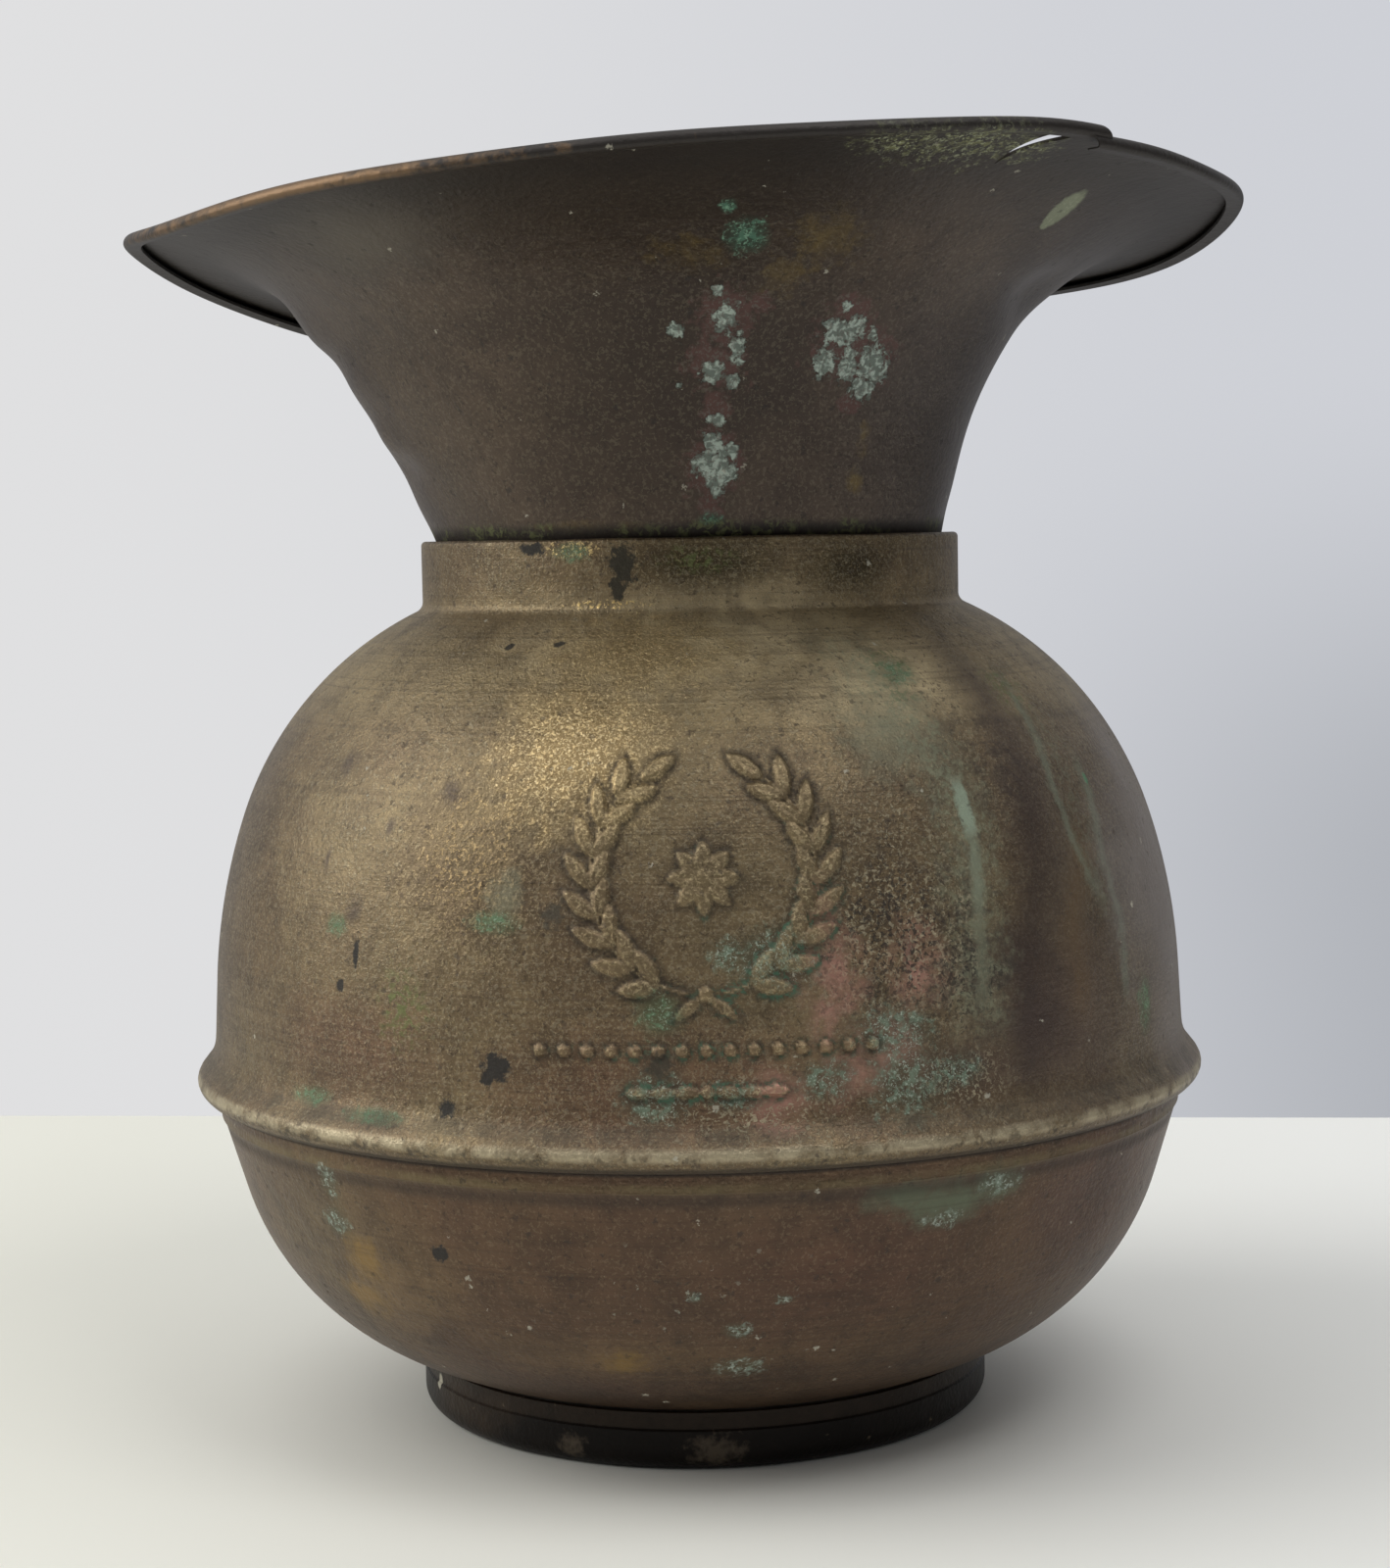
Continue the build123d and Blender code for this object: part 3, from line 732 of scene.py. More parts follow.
funnel_dents = [(-76, 218.5, 9, 4.5, 1.0), (-74, 211.5, 9, 3.2, -0.9), (-60, 214, 9, 5, 0.35),
                (-80, 231, 20, 7, 1.3), (-86, 243, 18, 6, 2.5), (78, 246, 18, 6, -3.0), (-84, 203, 10, 5, 0.5),
                (82, 200, 10, 5, -0.4), (20, 226, 20, 12, -0.4), (-25, 240, 22, 8, 0.4),
                (48, 222, 12, 14, -0.35), (180, 225, 25, 12, -0.5), (-140, 235, 20, 10, 0.5)]
points = press_dents(points, push, funnel_dents)
thinned = np.clip((np.arange(side_length) - rim_row + 6) / 6, 0, 1)
thinned = tear_thinned * np.exp(-(past_tear / thinned_spread) ** 2) * thinned
points[:, :side_length] += (points[:, side_length:][:, ::-1] - points[:, :side_length]) * thinned[..., None]
put_back(funnel, points)

row_number = np.arange(len(funnel_section))
row_notes = {
    "roll_inside": (row_number > rim_row + 2) & (row_number < side_length),
    "roll_outside": np.exp(-((row_number - (2 * side_length - 1 - rim_row) + 8) / 7.0) ** 2),
    "outside": (row_number < side_length) | (under_rows > rim_row - 2)}
for note, values in row_notes.items():
    note_on(funnel, note, np.broadcast_to(values, radius.shape).astype(float))
note_on(funnel, "brim", np.clip((radius - 84.0) / 22.0, 0, 1))

# %% Close the torn edges and weld the rest
bpy.ops.object.select_all(action="DESELECT")
funnel.select_set(True)
bpy.context.view_layer.objects.active = funnel
rows = len(funnel_section)
bpy.context.tool_settings.mesh_select_mode = (False, True, False)
for column in (0, columns - 1):
    bpy.ops.object.mode_set(mode="EDIT")
    bpy.ops.mesh.select_all(action="DESELECT")
    bpy.ops.object.mode_set(mode="OBJECT")
    first = column * rows
    under = set(range(first + tip_row, first + side_length))
    over = set(range(first + side_length, first + rows - tip_row))
    for edge in funnel.data.edges:
        ends = set(edge.vertices)
        edge.select = ends <= under or ends <= over
    bpy.ops.object.mode_set(mode="EDIT")
    bpy.ops.mesh.bridge_edge_loops()
    bpy.ops.object.mode_set(mode="OBJECT")
bpy.context.tool_settings.mesh_select_mode = (True, False, False)
bpy.ops.object.mode_set(mode="EDIT")
bpy.ops.mesh.select_all(action="DESELECT")
bpy.ops.object.mode_set(mode="OBJECT")
for column in (0, columns - 1):
    for row in list(range(tip_row + 1)) + list(range(rows - 1 - tip_row, rows)):
        funnel.data.vertices[column * rows + row].select = True
bpy.ops.object.mode_set(mode="EDIT")
bpy.ops.mesh.remove_doubles(threshold=0.004 * mm)
bpy.ops.mesh.select_all(action="SELECT")
bpy.ops.mesh.normals_make_consistent(inside=False)
bpy.ops.object.mode_set(mode="OBJECT")
bpy.ops.object.shade_smooth_by_angle(angle=math.radians(40))
print("loose_funnel", len(funnel.data.polygons), "faces")
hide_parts("funnel")
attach(funnel, "funnel")

# %% [markdown]
# ## Patina effects that the finishes share
# Old brass is never one colour: clouds of brown and olive, sandy crumbs, pits, flecks of lime, rings from
# the spinning tool, ragged crusts. Each effect is a node group that puts out a mask only, and each finish
# places it with its own scale and colours. All of them read Object coordinates, so they run through
# the metal without seams.


# %% Group helper
def group(name, inputs, outputs):
    """A new shader node group, its inputs and outputs as {name: socket kind or start value}."""
    tree = bpy.data.node_groups.new(name, "ShaderNodeTree")
    for socket, start in inputs.items():
        kind = "NodeSocketVector" if start == "vector" else "NodeSocketFloat"
        made = tree.interface.new_socket(socket, in_out="INPUT", socket_type=kind)
        if start != "vector":
            made.default_value = start
    for socket in outputs:
        tree.interface.new_socket(socket, in_out="OUTPUT", socket_type="NodeSocketFloat")
    return tree, tree.nodes.new("NodeGroupInput"), tree.nodes.new("NodeGroupOutput")


def noise(tree, vector, scale, detail=2.0, roughness=0.5, distortion=0.0):
    """A Noise Texture's value."""
    return add(tree, "ShaderNodeTexNoise", {"Vector": vector, "Scale": scale, "Detail": detail,
                                            "Roughness": roughness, "Distortion": distortion}).outputs[0]


# %% Clouds: large, middling and fine unevenness
clouds_group, given, put = group("patina_clouds", {"Vector": "vector", "Size": 1.0},
                                 ["Cloud", "Mottle", "Grain"])
for socket, scale, detail, rough, warp in (("Cloud", 26.0, 3.0, 0.55, 0.3),
                                           ("Mottle", 130.0, 4.0, 0.62, 0.4),
                                           ("Grain", 900.0, 2.0, 0.6, 0.0)):
    size = calc(clouds_group, "MULTIPLY", given.outputs["Size"], scale)
    value = noise(clouds_group, given.outputs["Vector"], size, detail, rough, warp)
    clouds_group.links.new(ramp(clouds_group, value, 0.3, 0.7, "LINEAR"), put.inputs[socket])

# %% Patch: how far inside one oval spot a point lies, from 1 in its middle to below 0 outside
patch_group, given, put = group("patch", {"Vector": "vector", "Centre": "vector", "Reach": "vector"}, ["Field"])
away = add(patch_group, "ShaderNodeVectorMath", {0: given.outputs["Vector"], 1: given.outputs["Centre"]},
           operation="SUBTRACT").outputs[0]
away = add(patch_group, "ShaderNodeVectorMath", {0: away, 1: given.outputs["Reach"]},
           operation="DIVIDE").outputs[0]
away = add(patch_group, "ShaderNodeVectorMath", {0: away}, operation="LENGTH").outputs["Value"]
patch_group.links.new(calc(patch_group, "SUBTRACT", 1.0, away), put.inputs["Field"])

# %% Ragged: turns a field into a mask with a broken edge
ragged_group, given, put = group("ragged_edge", {"Vector": "vector", "Field": 0.0, "Scale": 300.0,
                                                 "Raggedness": 1.0, "Softness": 0.15}, ["Mask"])
bits = noise(ragged_group, given.outputs["Vector"], given.outputs["Scale"], 4.0, 0.65, 0.2)
bits = calc(ragged_group, "MULTIPLY", calc(ragged_group, "SUBTRACT", bits, 0.5), given.outputs["Raggedness"])
value = calc(ragged_group, "DIVIDE", calc(ragged_group, "ADD", given.outputs["Field"],
                                          calc(ragged_group, "MULTIPLY", bits, 3.0)), given.outputs["Softness"])
ragged_group.links.new(calc(ragged_group, "MULTIPLY", value, 1.0, clamp=True), put.inputs["Mask"])

# %% Crumbs: fine irregular grains, a noise cut off at a level
crumbs_group, given, put = group("crumbs", {"Vector": "vector", "Scale": 1000.0, "Level": 0.55,
                                            "Softness": 0.08}, ["Mask"])
value = noise(crumbs_group, given.outputs["Vector"], given.outputs["Scale"], 2.0, 0.65, 0.6)
value = calc(crumbs_group, "SUBTRACT", value, given.outputs["Level"])
crumbs_group.links.new(calc(crumbs_group, "DIVIDE", value, given.outputs["Softness"], clamp=True),
                       put.inputs["Mask"])

# %% Specks: rare, small, uneven spots, as a share of the cells of a Voronoi pattern
specks_group, given, put = group("specks", {"Vector": "vector", "Scale": 300.0, "Share": 0.1, "Size": 0.3},
                                 ["Mask"])
warp = add(specks_group, "ShaderNodeTexNoise",
           {"Vector": given.outputs["Vector"], "Scale": 1300.0}).outputs["Color"]
warp = add(specks_group, "ShaderNodeVectorMath", {0: warp, "Scale": 0.0022}, operation="SCALE").outputs[0]
warp = add(specks_group, "ShaderNodeVectorMath", {0: warp, 1: given.outputs["Vector"]},
           operation="ADD").outputs[0]
cells = add(specks_group, "ShaderNodeTexVoronoi", {"Vector": warp, "Scale": given.outputs["Scale"]})
chance = add(specks_group, "ShaderNodeSeparateColor", {0: cells.outputs["Color"]})
chosen = calc(specks_group, "LESS_THAN", chance.outputs[0], given.outputs["Share"])
reach = calc(specks_group, "MULTIPLY", given.outputs["Size"], calc(specks_group, "ADD", chance.outputs[1], 0.3))
spot = calc(specks_group, "SUBTRACT", 1.0, calc(specks_group, "DIVIDE", cells.outputs["Distance"], reach))
spot = calc(specks_group, "MULTIPLY", spot, 2.5, clamp=True)
specks_group.links.new(calc(specks_group, "MULTIPLY", spot, chosen), put.inputs["Mask"])

# %% Spun rings: the tool's fine level lines
rings_group, given, put = group("spun_rings", {"Vector": "vector", "Scale": 1.0}, ["Line"])
flat = add(rings_group, "ShaderNodeVectorMath", {0: given.outputs["Vector"], 1: (6.0, 6.0, 1400.0)},
           operation="MULTIPLY").outputs[0]
rings_group.links.new(noise(rings_group, flat, given.outputs["Scale"], 3.0, 0.6), put.inputs["Line"])
print("effect groups:", [tree.name for tree in bpy.data.node_groups])

# %% [markdown]
# ## A finish, built up in layers
# Patina is built up in the order it grew: bare brass, brown oxide, dark grime, crusts on top, and rubbed
# places last. So a finish here is a small class: each layer has a mask or several that have to meet, a
# colour, and what it does to gloss, metal and height. The Principled shader stays in the material itself.


# %% Finish
class Finish:
    """A brass finish in layers over a first colour."""

    def __init__(self, name, spot_place, colour, roughness, metallic):
        self.material = bpy.data.materials.new(name)
        self.material.use_nodes = True
        self.tree = self.material.node_tree
        self.shader = self.tree.nodes["Principled BSDF"]
        self.vector = add(self.tree, "ShaderNodeTexCoord").outputs["Object"]
        self.spot_place = spot_place
        self.colour, self.roughness, self.metallic = colour, roughness, metallic
        self.heights = []
        self.held_to = []        # masks that every layer is held to, while they are in this list

    def place(self, group_tree, output, **inputs):
        """Place one of the shared groups, and give its output."""
        made = add(self.tree, "ShaderNodeGroup", node_tree=group_tree)
        self.tree.links.new(self.vector, made.inputs["Vector"])
        for socket, value in inputs.items():
            if isinstance(value, bpy.types.NodeSocket):
                self.tree.links.new(value, made.inputs[socket])
            else:
                made.inputs[socket].default_value = value
        return made.outputs[output]

    def clouds(self, size):
        """Large, middling and fine unevenness."""
        made = add(self.tree, "ShaderNodeGroup", {"Vector": self.vector, "Size": size}, node_tree=clouds_group)
        return made.outputs["Cloud"], made.outputs["Mottle"], made.outputs["Grain"]

    def crumbs(self, scale, level, softness=0.08):
        return self.place(crumbs_group, "Mask", Scale=scale, Level=level, Softness=softness)

    def specks(self, scale, share, size):
        return self.place(specks_group, "Mask", Scale=scale, Share=share, Size=size)

    def field(self, spots):
        """The highest of many patch fields, one for each spot."""
        field = None
        for centre, reach in (self.spot_place(*spot) for spot in spots):
            here = self.place(patch_group, "Field", Centre=centre, Reach=reach)
            field = here if field is None else calc(self.tree, "MAXIMUM", field, here)
        return field

    def spots(self, spots, scale=300.0, raggedness=0.8, softness=0.15):
        """A mask of ragged spots."""
        return self.place(ragged_group, "Mask", Field=self.field(spots), Scale=scale, Raggedness=raggedness,
                          Softness=softness)

    def soft(self, spots, scale=140.0, raggedness=0.3):
        """A mask of cloudy spots that fade outwards."""
        return self.spots(spots, scale, raggedness, 0.75)

    def band(self, low, high, edge):
        """A level band between two heights in mm, with soft edges."""
        height = add(self.tree, "ShaderNodeSeparateXYZ", {0: self.vector}).outputs[2]
        over = ramp(self.tree, height, (low - edge) * mm, (low + edge) * mm)
        return self.times(over, ramp(self.tree, height, (high + edge) * mm, (high - edge) * mm))

    def run(self, places, half_width, scale=400.0, raggedness=0.5, softness=0.75, fade=3.0):
        """A mask that runs up the metal through places, each (height in mm, degrees from the front)."""
        x, y, z = add(self.tree, "ShaderNodeSeparateXYZ", {0: self.vector}).outputs
        wanted = math.radians(places[0][1])
        for (low, start), (high, end) in zip(places, places[1:]):
            step = add(self.tree, "ShaderNodeMapRange", {0: z, 1: low * mm, 2: high * mm, 3: 0.0,
                                                         4: math.radians(end - start)}).outputs[0]
            wanted = calc(self.tree, "ADD", step, wanted)
        side = calc(self.tree, "ARCTAN2", x, calc(self.tree, "MULTIPLY", y, -1.0))
        aside = calc(self.tree, "ABSOLUTE", calc(self.tree, "SUBTRACT", side, wanted))
        radius = calc(self.tree, "SQRT", calc(self.tree, "ADD", calc(self.tree, "MULTIPLY", x, x),
                                              calc(self.tree, "MULTIPLY", y, y)))
        aside = calc(self.tree, "MULTIPLY", aside, calc(self.tree, "DIVIDE", radius, half_width * mm))
        mask = self.place(ragged_group, "Mask", Field=calc(self.tree, "SUBTRACT", 1.0, aside), Scale=scale,
                          Raggedness=raggedness, Softness=softness)
        return self.times(mask, self.band(places[0][0], places[-1][0], fade))

    def note(self, name):
        """A number that was kept on the mesh."""
        return add(self.tree, "ShaderNodeAttribute", attribute_name=name).outputs["Fac"]

    def times(self, *masks):
        product = masks[0]
        for mask in masks[1:]:
            product = calc(self.tree, "MULTIPLY", product, mask)
        return product

    def layer(self, masks, colour, roughness=None, metallic=None, rise=0.0):
        """Lay a colour where all masks meet, with its own gloss, metal and rise in mm."""
        mask = self.times(*(masks if isinstance(masks, list) else [masks]), *self.held_to)
        self.colour = blend_colour(self.tree, mask, self.colour, colour)
        if roughness is not None:
            self.roughness = blend_value(self.tree, mask, self.roughness, roughness)
        if metallic is not None:
            self.metallic = blend_value(self.tree, mask, self.metallic, metallic)
        if rise:
            self.heights.append(calc(self.tree, "MULTIPLY", mask, rise))
        return self

    def crust(self, spots, coarse, fine, stain, film, crumb, amount=1.0):
        """A corrosion crust: a stain round it, a broken chalky film, and pale crumbs on top."""
        field = self.field(spots)
        wide = self.place(ragged_group, "Mask", Field=calc(self.tree, "ADD", field, 0.25), Scale=170.0,
                          Raggedness=0.4, Softness=0.8)
        close = self.place(ragged_group, "Mask", Field=field, Scale=430.0, Raggedness=1.0, Softness=0.55)
        self.layer([wide, 0.6 * amount], stain, 0.6)
        self.layer([close, coarse, 0.8 * amount], film, 0.8, 0.1, 0.06)
        return self.layer([close, fine, 0.85 * amount], crumb, 0.85, 0.0, 0.08)

    def scab(self, spots, stain_spots, stain, pits, fine, film, crumb):
        """A thick lime scab with a broken edge, on a wider dull stain."""
        stained = self.spots(stain_spots, 420.0, 0.85, 0.5)
        self.layer([stained, 0.85], stain, 0.6, 0.3)
        self.layer([stained, fine, 0.3], film, 0.8, 0.1)
        solid = self.spots(spots, 640.0, 0.85, 0.25)
        self.layer([solid, 0.92], film, 0.85, 0.0, 0.16)
        self.layer([solid, pits, 0.85], crumb, 0.85, 0.0, 0.06)
        return self.layer([solid, fine, 0.4], stain, 0.8, 0.0, -0.05)

    def relief(self, value, rise):
        """Height without colour, in mm."""
        self.heights.append(calc(self.tree, "MULTIPLY", value, rise))
        return self

    def close(self, strength=1.0):
        """Wire the layers to the shader."""
        height = self.heights[0]
        for more in self.heights[1:]:
            height = calc(self.tree, "ADD", height, more)
        bump = add(self.tree, "ShaderNodeBump", {"Strength": strength, "Distance": mm, "Height": height})
        self.tree.links.new(bump.outputs[0], self.shader.inputs["Normal"])
        for value, socket in ((self.colour, "Base Color"), (self.roughness, "Roughness"),
                              (self.metallic, "Metallic")):
            if isinstance(value, bpy.types.NodeSocket):
                self.tree.links.new(value, self.shader.inputs[socket])
            else:
                self.shader.inputs[socket].default_value = value
        print(self.material.name, len(self.tree.nodes), "nodes")
        return self.material


# %% [markdown]
# ## Where the marks are
# Crusts and stains sit at known places on this piece, so each is given by its angle round from the front,
# its height, and its half width and half height. A small function turns that into a place on the metal.
# On the foot and on the funnel, a spot is given by its three coordinates in mm instead of the angle.


# %% Places on the metal
outline = [row for row in bowl_outside if row[1] < 73.3] + upper_outside + collar.rows
outline_heights = [row[1] for row in outline if row[0] > 0]
outline_radii = [row[0] for row in outline if row[0] > 0]
order = np.argsort(outline_heights, kind="stable")
outline_heights = np.array(outline_heights)[order]
outline_radii = np.array(outline_radii)[order]


def at_point(across, along, height, half_width, half_height, stretch=1.0):
    """A spot at a point given in mm to the right, to the back and up, as its centre and reach in metres."""
    return ((across * mm, along * mm, height * mm),
            (half_width * mm, half_width * stretch * mm, half_height * mm))


def on_body(angle, height, half_width, half_height):
    """A spot on the body or the bowl, given by its angle round from the front and its height."""
    radius = float(np.interp(height, outline_heights, outline_radii))
    side = math.radians(angle)
    return at_point(radius * math.sin(side), -radius * math.cos(side), height, half_width, half_height)


def on_funnel(across, along, height, half_width, half_height):
    """A spot on the funnel, whose cone leans, so that a spot reaches further from front to back."""
    return at_point(across, along, height, half_width, half_height, 1.6)


# %% Colours of old brass
oxide_brown = paint(114, 95, 73)
oxide_olive = paint(134, 118, 88)
oxide_grey = paint(106, 94, 82)
oxide_dark = paint(64, 53, 44)
shelf_dust_and_light = paint(176, 158, 120)
rubbed_and_lit_gold = paint(224, 198, 148)
worn_copper = paint(178, 134, 119)
plum = paint(70, 58, 54)
grey_green = paint(124, 126, 105)
moss = paint(104, 112, 70)
sand = paint(166, 158, 134)
turquoise = paint(122, 146, 126)
pale_crust = paint(182, 194, 184)
verdigris = paint(76, 116, 92)
soot = paint(26, 25, 25)
lime = paint(190, 186, 170)
# Oxides and dirt on the body, and painted shade on the collar and above the bead
reddish_oxide = paint(124, 92, 74)
plum_brown = paint(84, 66, 60)
fold_brown = paint(90, 76, 66)
ochre = paint(122, 98, 68)
hard_grime = paint(42, 36, 33)
soft_grime = paint(52, 43, 40)
crevice_dirt = paint(50, 42, 33)
crevice_grime = paint(40, 33, 27)
bead_dirt = paint(66, 60, 50)
bead_shade = paint(56, 54, 44)
dark_dirt = paint(48, 40, 34)
smudge = paint(74, 64, 58)
spilled_black = paint(37, 35, 26)
faded_black = paint(54, 52, 44)
collar_painted_shade = paint(62, 54, 32)
# Dust and films, one of them made paler as painted light on the shoulder
shoulder_dust_and_light = paint(214, 196, 158)
side_film = paint(142, 133, 128)
dust_film = paint(146, 140, 138)
pale_sand = paint(174, 164, 136)
lime_dust = paint(168, 170, 154)
# Rubbed places and painted highlights
fine_gold = paint(206, 186, 142)
warm_gold = paint(164, 140, 96)
bright_gold = paint(240, 220, 176)
dull_gold = paint(196, 164, 112)
bare_brass_and_highlight = paint(232, 202, 140)
worn_relief = paint(170, 152, 114)
worn_crumbs = paint(196, 176, 134)
bead_highlight = paint(186, 174, 146)
# Greens, streaks and crusts
veil_green = paint(138, 144, 118)
thin_streak = paint(138, 152, 132)
pale_streak = paint(152, 168, 148)
side_streak = paint(124, 134, 116)
bright_green = paint(84, 138, 104)
crust_stain = paint(74, 80, 66)
crust_crumb = paint(184, 198, 184)
green_stain = paint(86, 108, 80)
green_film = paint(104, 138, 104)
green_crumb = paint(150, 172, 150)
# The bowl
bowl_brown = paint(92, 70, 56)
bowl_tan = paint(108, 86, 64)
bowl_olive = paint(112, 98, 72)
bowl_red = paint(104, 72, 58)
bowl_dusk = paint(78, 58, 48)
bowl_painted_light = paint(130, 106, 76)
bowl_dark = paint(58, 46, 38)
bowl_mottle = paint(60, 48, 40)
bowl_sand = paint(150, 134, 108)
bowl_ochre = paint(140, 112, 62)
bowl_green = paint(100, 110, 88)
lip_highlight = paint(130, 118, 86)
lip_shade = paint(48, 39, 33)
lip_crevice = paint(34, 28, 25)
bowl_stain = paint(92, 92, 74)
bowl_film = paint(140, 156, 142)
# The foot
foot_black = paint(20, 16, 14)
foot_brown = paint(28, 22, 18)
foot_left_brown = paint(72, 58, 44)
foot_step_brown = paint(66, 54, 44)
foot_mottle = paint(18, 16, 15)
foot_scuff = paint(110, 98, 84)
foot_fleck = paint(120, 108, 92)
# The funnel
funnel_brown = paint(74, 62, 55)
funnel_tan = paint(84, 71, 60)
funnel_lit = paint(90, 76, 62)
funnel_grey = paint(76, 69, 67)
funnel_front_shade = paint(52, 43, 37)
funnel_blotch = paint(54, 44, 40)
funnel_mottle = paint(52, 43, 38)
mustard = paint(112, 94, 52)
funnel_pit = paint(40, 34, 32)
funnel_speck = paint(38, 33, 31)
brim_dark = paint(48, 44, 42)
brim_lit = paint(92, 84, 74)
roll_dark = paint(42, 38, 36)
roll_worn = paint(146, 116, 84)
roll_hollow_shade = paint(20, 18, 17)
spigot_dirt_and_shade = paint(30, 26, 24)
spigot_crumb = paint(96, 100, 62)
scab_stain = paint(90, 62, 57)
scab_film = paint(112, 124, 116)
scab_crumb = paint(182, 196, 186)
sea_stain = paint(58, 84, 70)
sea_film = paint(78, 118, 98)
sea_crumb = paint(118, 158, 134)
leaf_film = paint(136, 142, 118)
leaf_crumb = paint(164, 170, 146)
scraped_olive = paint(122, 124, 84)
scraped_crumb = paint(176, 182, 150)
# The solder
solder_grey = paint(112, 110, 106)
solder_dull = paint(84, 82, 78)

# %% [markdown]
# ## The body's finish
# Brown-olive oxide over brass, dusty on the shoulder and made paler there as painted light, golden on the left
# where it was rubbed and where a painted highlight falls, reddish and plum towards the lower right, with green
# and turquoise veils, black spots and a sprinkle of sand. Painted shade darkens the collar's front and a fold
# on the right, and a painted highlight runs along the bead. Painting it as an image would be quicker, but it
# would stretch on the shoulder; masks stay sharp at any distance.

# %% Body: the ground
body = Finish("aged_brass_body", on_body, oxide_brown, 0.46, 0.62)
cloud, mottle, grain = body.clouds(1.0)
coarse = body.crumbs(620.0, 0.46, 0.14)
fine = body.crumbs(1250.0, 0.53, 0.08)
tiny = body.crumbs(2100.0, 0.56, 0.07)
blotch = body.crumbs(85.0, 0.48, 0.16)
body.layer(cloud, oxide_olive)
body.layer([body.soft([(66, 125, 62, 80), (-78, 120, 34, 70), (180, 120, 90, 90)], 30), 0.8], oxide_grey)
body.layer([body.soft([(0, 90, 62, 15), (-40, 96, 30, 14)], 60), 0.55], reddish_oxide)
# Dust on the shoulder, made paler as painted light: the top of the shoulder is lighter because light falls on
# it from above and from the front.
body.layer([body.band(159, 182, 9), 0.6], shelf_dust_and_light, 0.55)
body.layer([body.soft([(0, 175, 46, 14), (28, 166, 30, 14)], 60), 0.9], shoulder_dust_and_light, 0.6)
# Painted shade on the collar's front, which lies in the brim's shadow.
body.layer([body.soft([(2, 190, 20, 7), (35, 189, 16, 8)], 60), 0.88], collar_painted_shade, 0.34)
body.layer([blotch, 0.34], oxide_dark)
body.layer([mottle, 0.42], oxide_dark)
body.layer([fine, 0.26], sand)
body.layer([body.crumbs(900.0, 0.6, 0.06), 0.55], oxide_dark)
body.layer([tiny, 0.2], fine_gold, 0.38, 0.8)
tool_lines = body.place(rings_group, "Line", Scale=1.0)
body.layer([ramp(body.tree, tool_lines, 0.5, 0.68), 0.24], oxide_dark)
body.layer([body.soft([(72, 120, 26, 70)], 30), 0.7], side_film)
body.layer([body.soft([(42, 98, 30, 24), (30, 90, 24, 12)], 50, 0.2), 0.6], plum_brown)

# %% Body: gold, copper, plum and green
# Rubbed brass on the left, which also carries a painted highlight: the gold is brightest where light glances
# off the upper left of the body.
gold_wear_and_highlight = body.soft([(-14, 155, 22, 24), (-8, 172, 26, 11)], 260, 0.5)
body.layer([gold_wear_and_highlight, 0.6], warm_gold, 0.42, 0.72)
body.layer([gold_wear_and_highlight, fine, 0.8], rubbed_and_lit_gold, 0.38, 0.85)
body.layer([gold_wear_and_highlight, tiny, 0.7], bright_gold, 0.34, 0.9)
body.layer([body.soft([(-26, 134, 18, 22)], 260, 0.6), fine, 0.45], dull_gold, 0.42, 0.8)
# Bare brass on the neck fillet and the collar's edge; the thin line on the fillet is also a painted highlight.
body.layer([body.spots([(-17, 182, 11, 1.2), (-24, 193.5, 8, 2)], 900, 0.5, 0.5), fine],
           bare_brass_and_highlight, 0.35, 0.9)
copper_spots = [(14, 108, 9, 24), (19, 96, 13, 10), (8, 88, 9, 9), (24, 112, 9, 12)]
body.layer([body.soft(copper_spots, 120, 0.55), ramp(body.tree, mottle, 0.0, 0.8), 0.85], worn_copper)
body.layer([body.soft([(46, 116, 20, 46)], 50), 0.5], fold_brown)
# Plum along the fold on the right is painted shade: the dark side of the dent there.
fold_line = [(82, 37), (100, 37.5), (114, 38.5), (128, 41), (142, 43), (156, 43.6), (174, 44.6)]
fold = body.run(fold_line, 9, 60, 0.35, 0.9, 8)
body.layer([fold, 0.62], plum)
body.layer([body.soft([(34, 111, 16, 9), (38, 96, 16, 12)], 90, 0.4), 0.6], plum)
body.layer([body.run([(98, 46), (116, 46), (134, 51)], 7, 90, 0.4, 0.9, 6), 0.45], ochre)
moss_spots = [(31, 169.5, 6, 5), (29.5, 163.5, 5, 4.5), (50, 163, 7, 8), (2, 191, 9, 3), (-33, 104, 8, 10)]
body.layer([body.soft(moss_spots, 420, 0.75), coarse, 0.8], moss)
veil = body.run([(98, 30.5), (124, 31), (138, 32.3), (150, 31), (160, 28.5), (173, 25)], 10.5, 240, 0.8, 0.9, 7)
body.layer([veil, 0.34], grey_green, 0.6, 0.35)
body.layer([veil, coarse, 0.5], veil_green, 0.7, 0.2)
body.layer([body.soft([(-21, 127, 5, 6), (24.5, 156, 12, 14)], 300, 0.6), 0.5], grey_green, 0.6, 0.35)
body.layer([body.soft([(22, 122, 26, 26), (6, 86, 22, 8), (28, 88, 14, 8)], 200, 0.6), fine, 0.7], pale_sand,
           0.75, 0.2, 0.08)
body.layer([body.soft([(22, 118, 24, 26), (30, 108, 14, 14)], 200, 0.6), body.crumbs(1000.0, 0.52, 0.07), 0.85],
           hard_grime, 0.6, 0.3)
body.layer([body.soft([(30, 116, 34, 34), (40, 150, 20, 20)], 120, 0.6), body.crumbs(230.0, 0.5, 0.1), 0.45],
           soft_grime, 0.6, 0.3)
body.layer([body.run([(103, 31.4), (118, 31.8), (134, 32.9)], 2.2, 500, 0.9, 0.8, 4), 0.6], grey_green, 0.65,
           0.3)
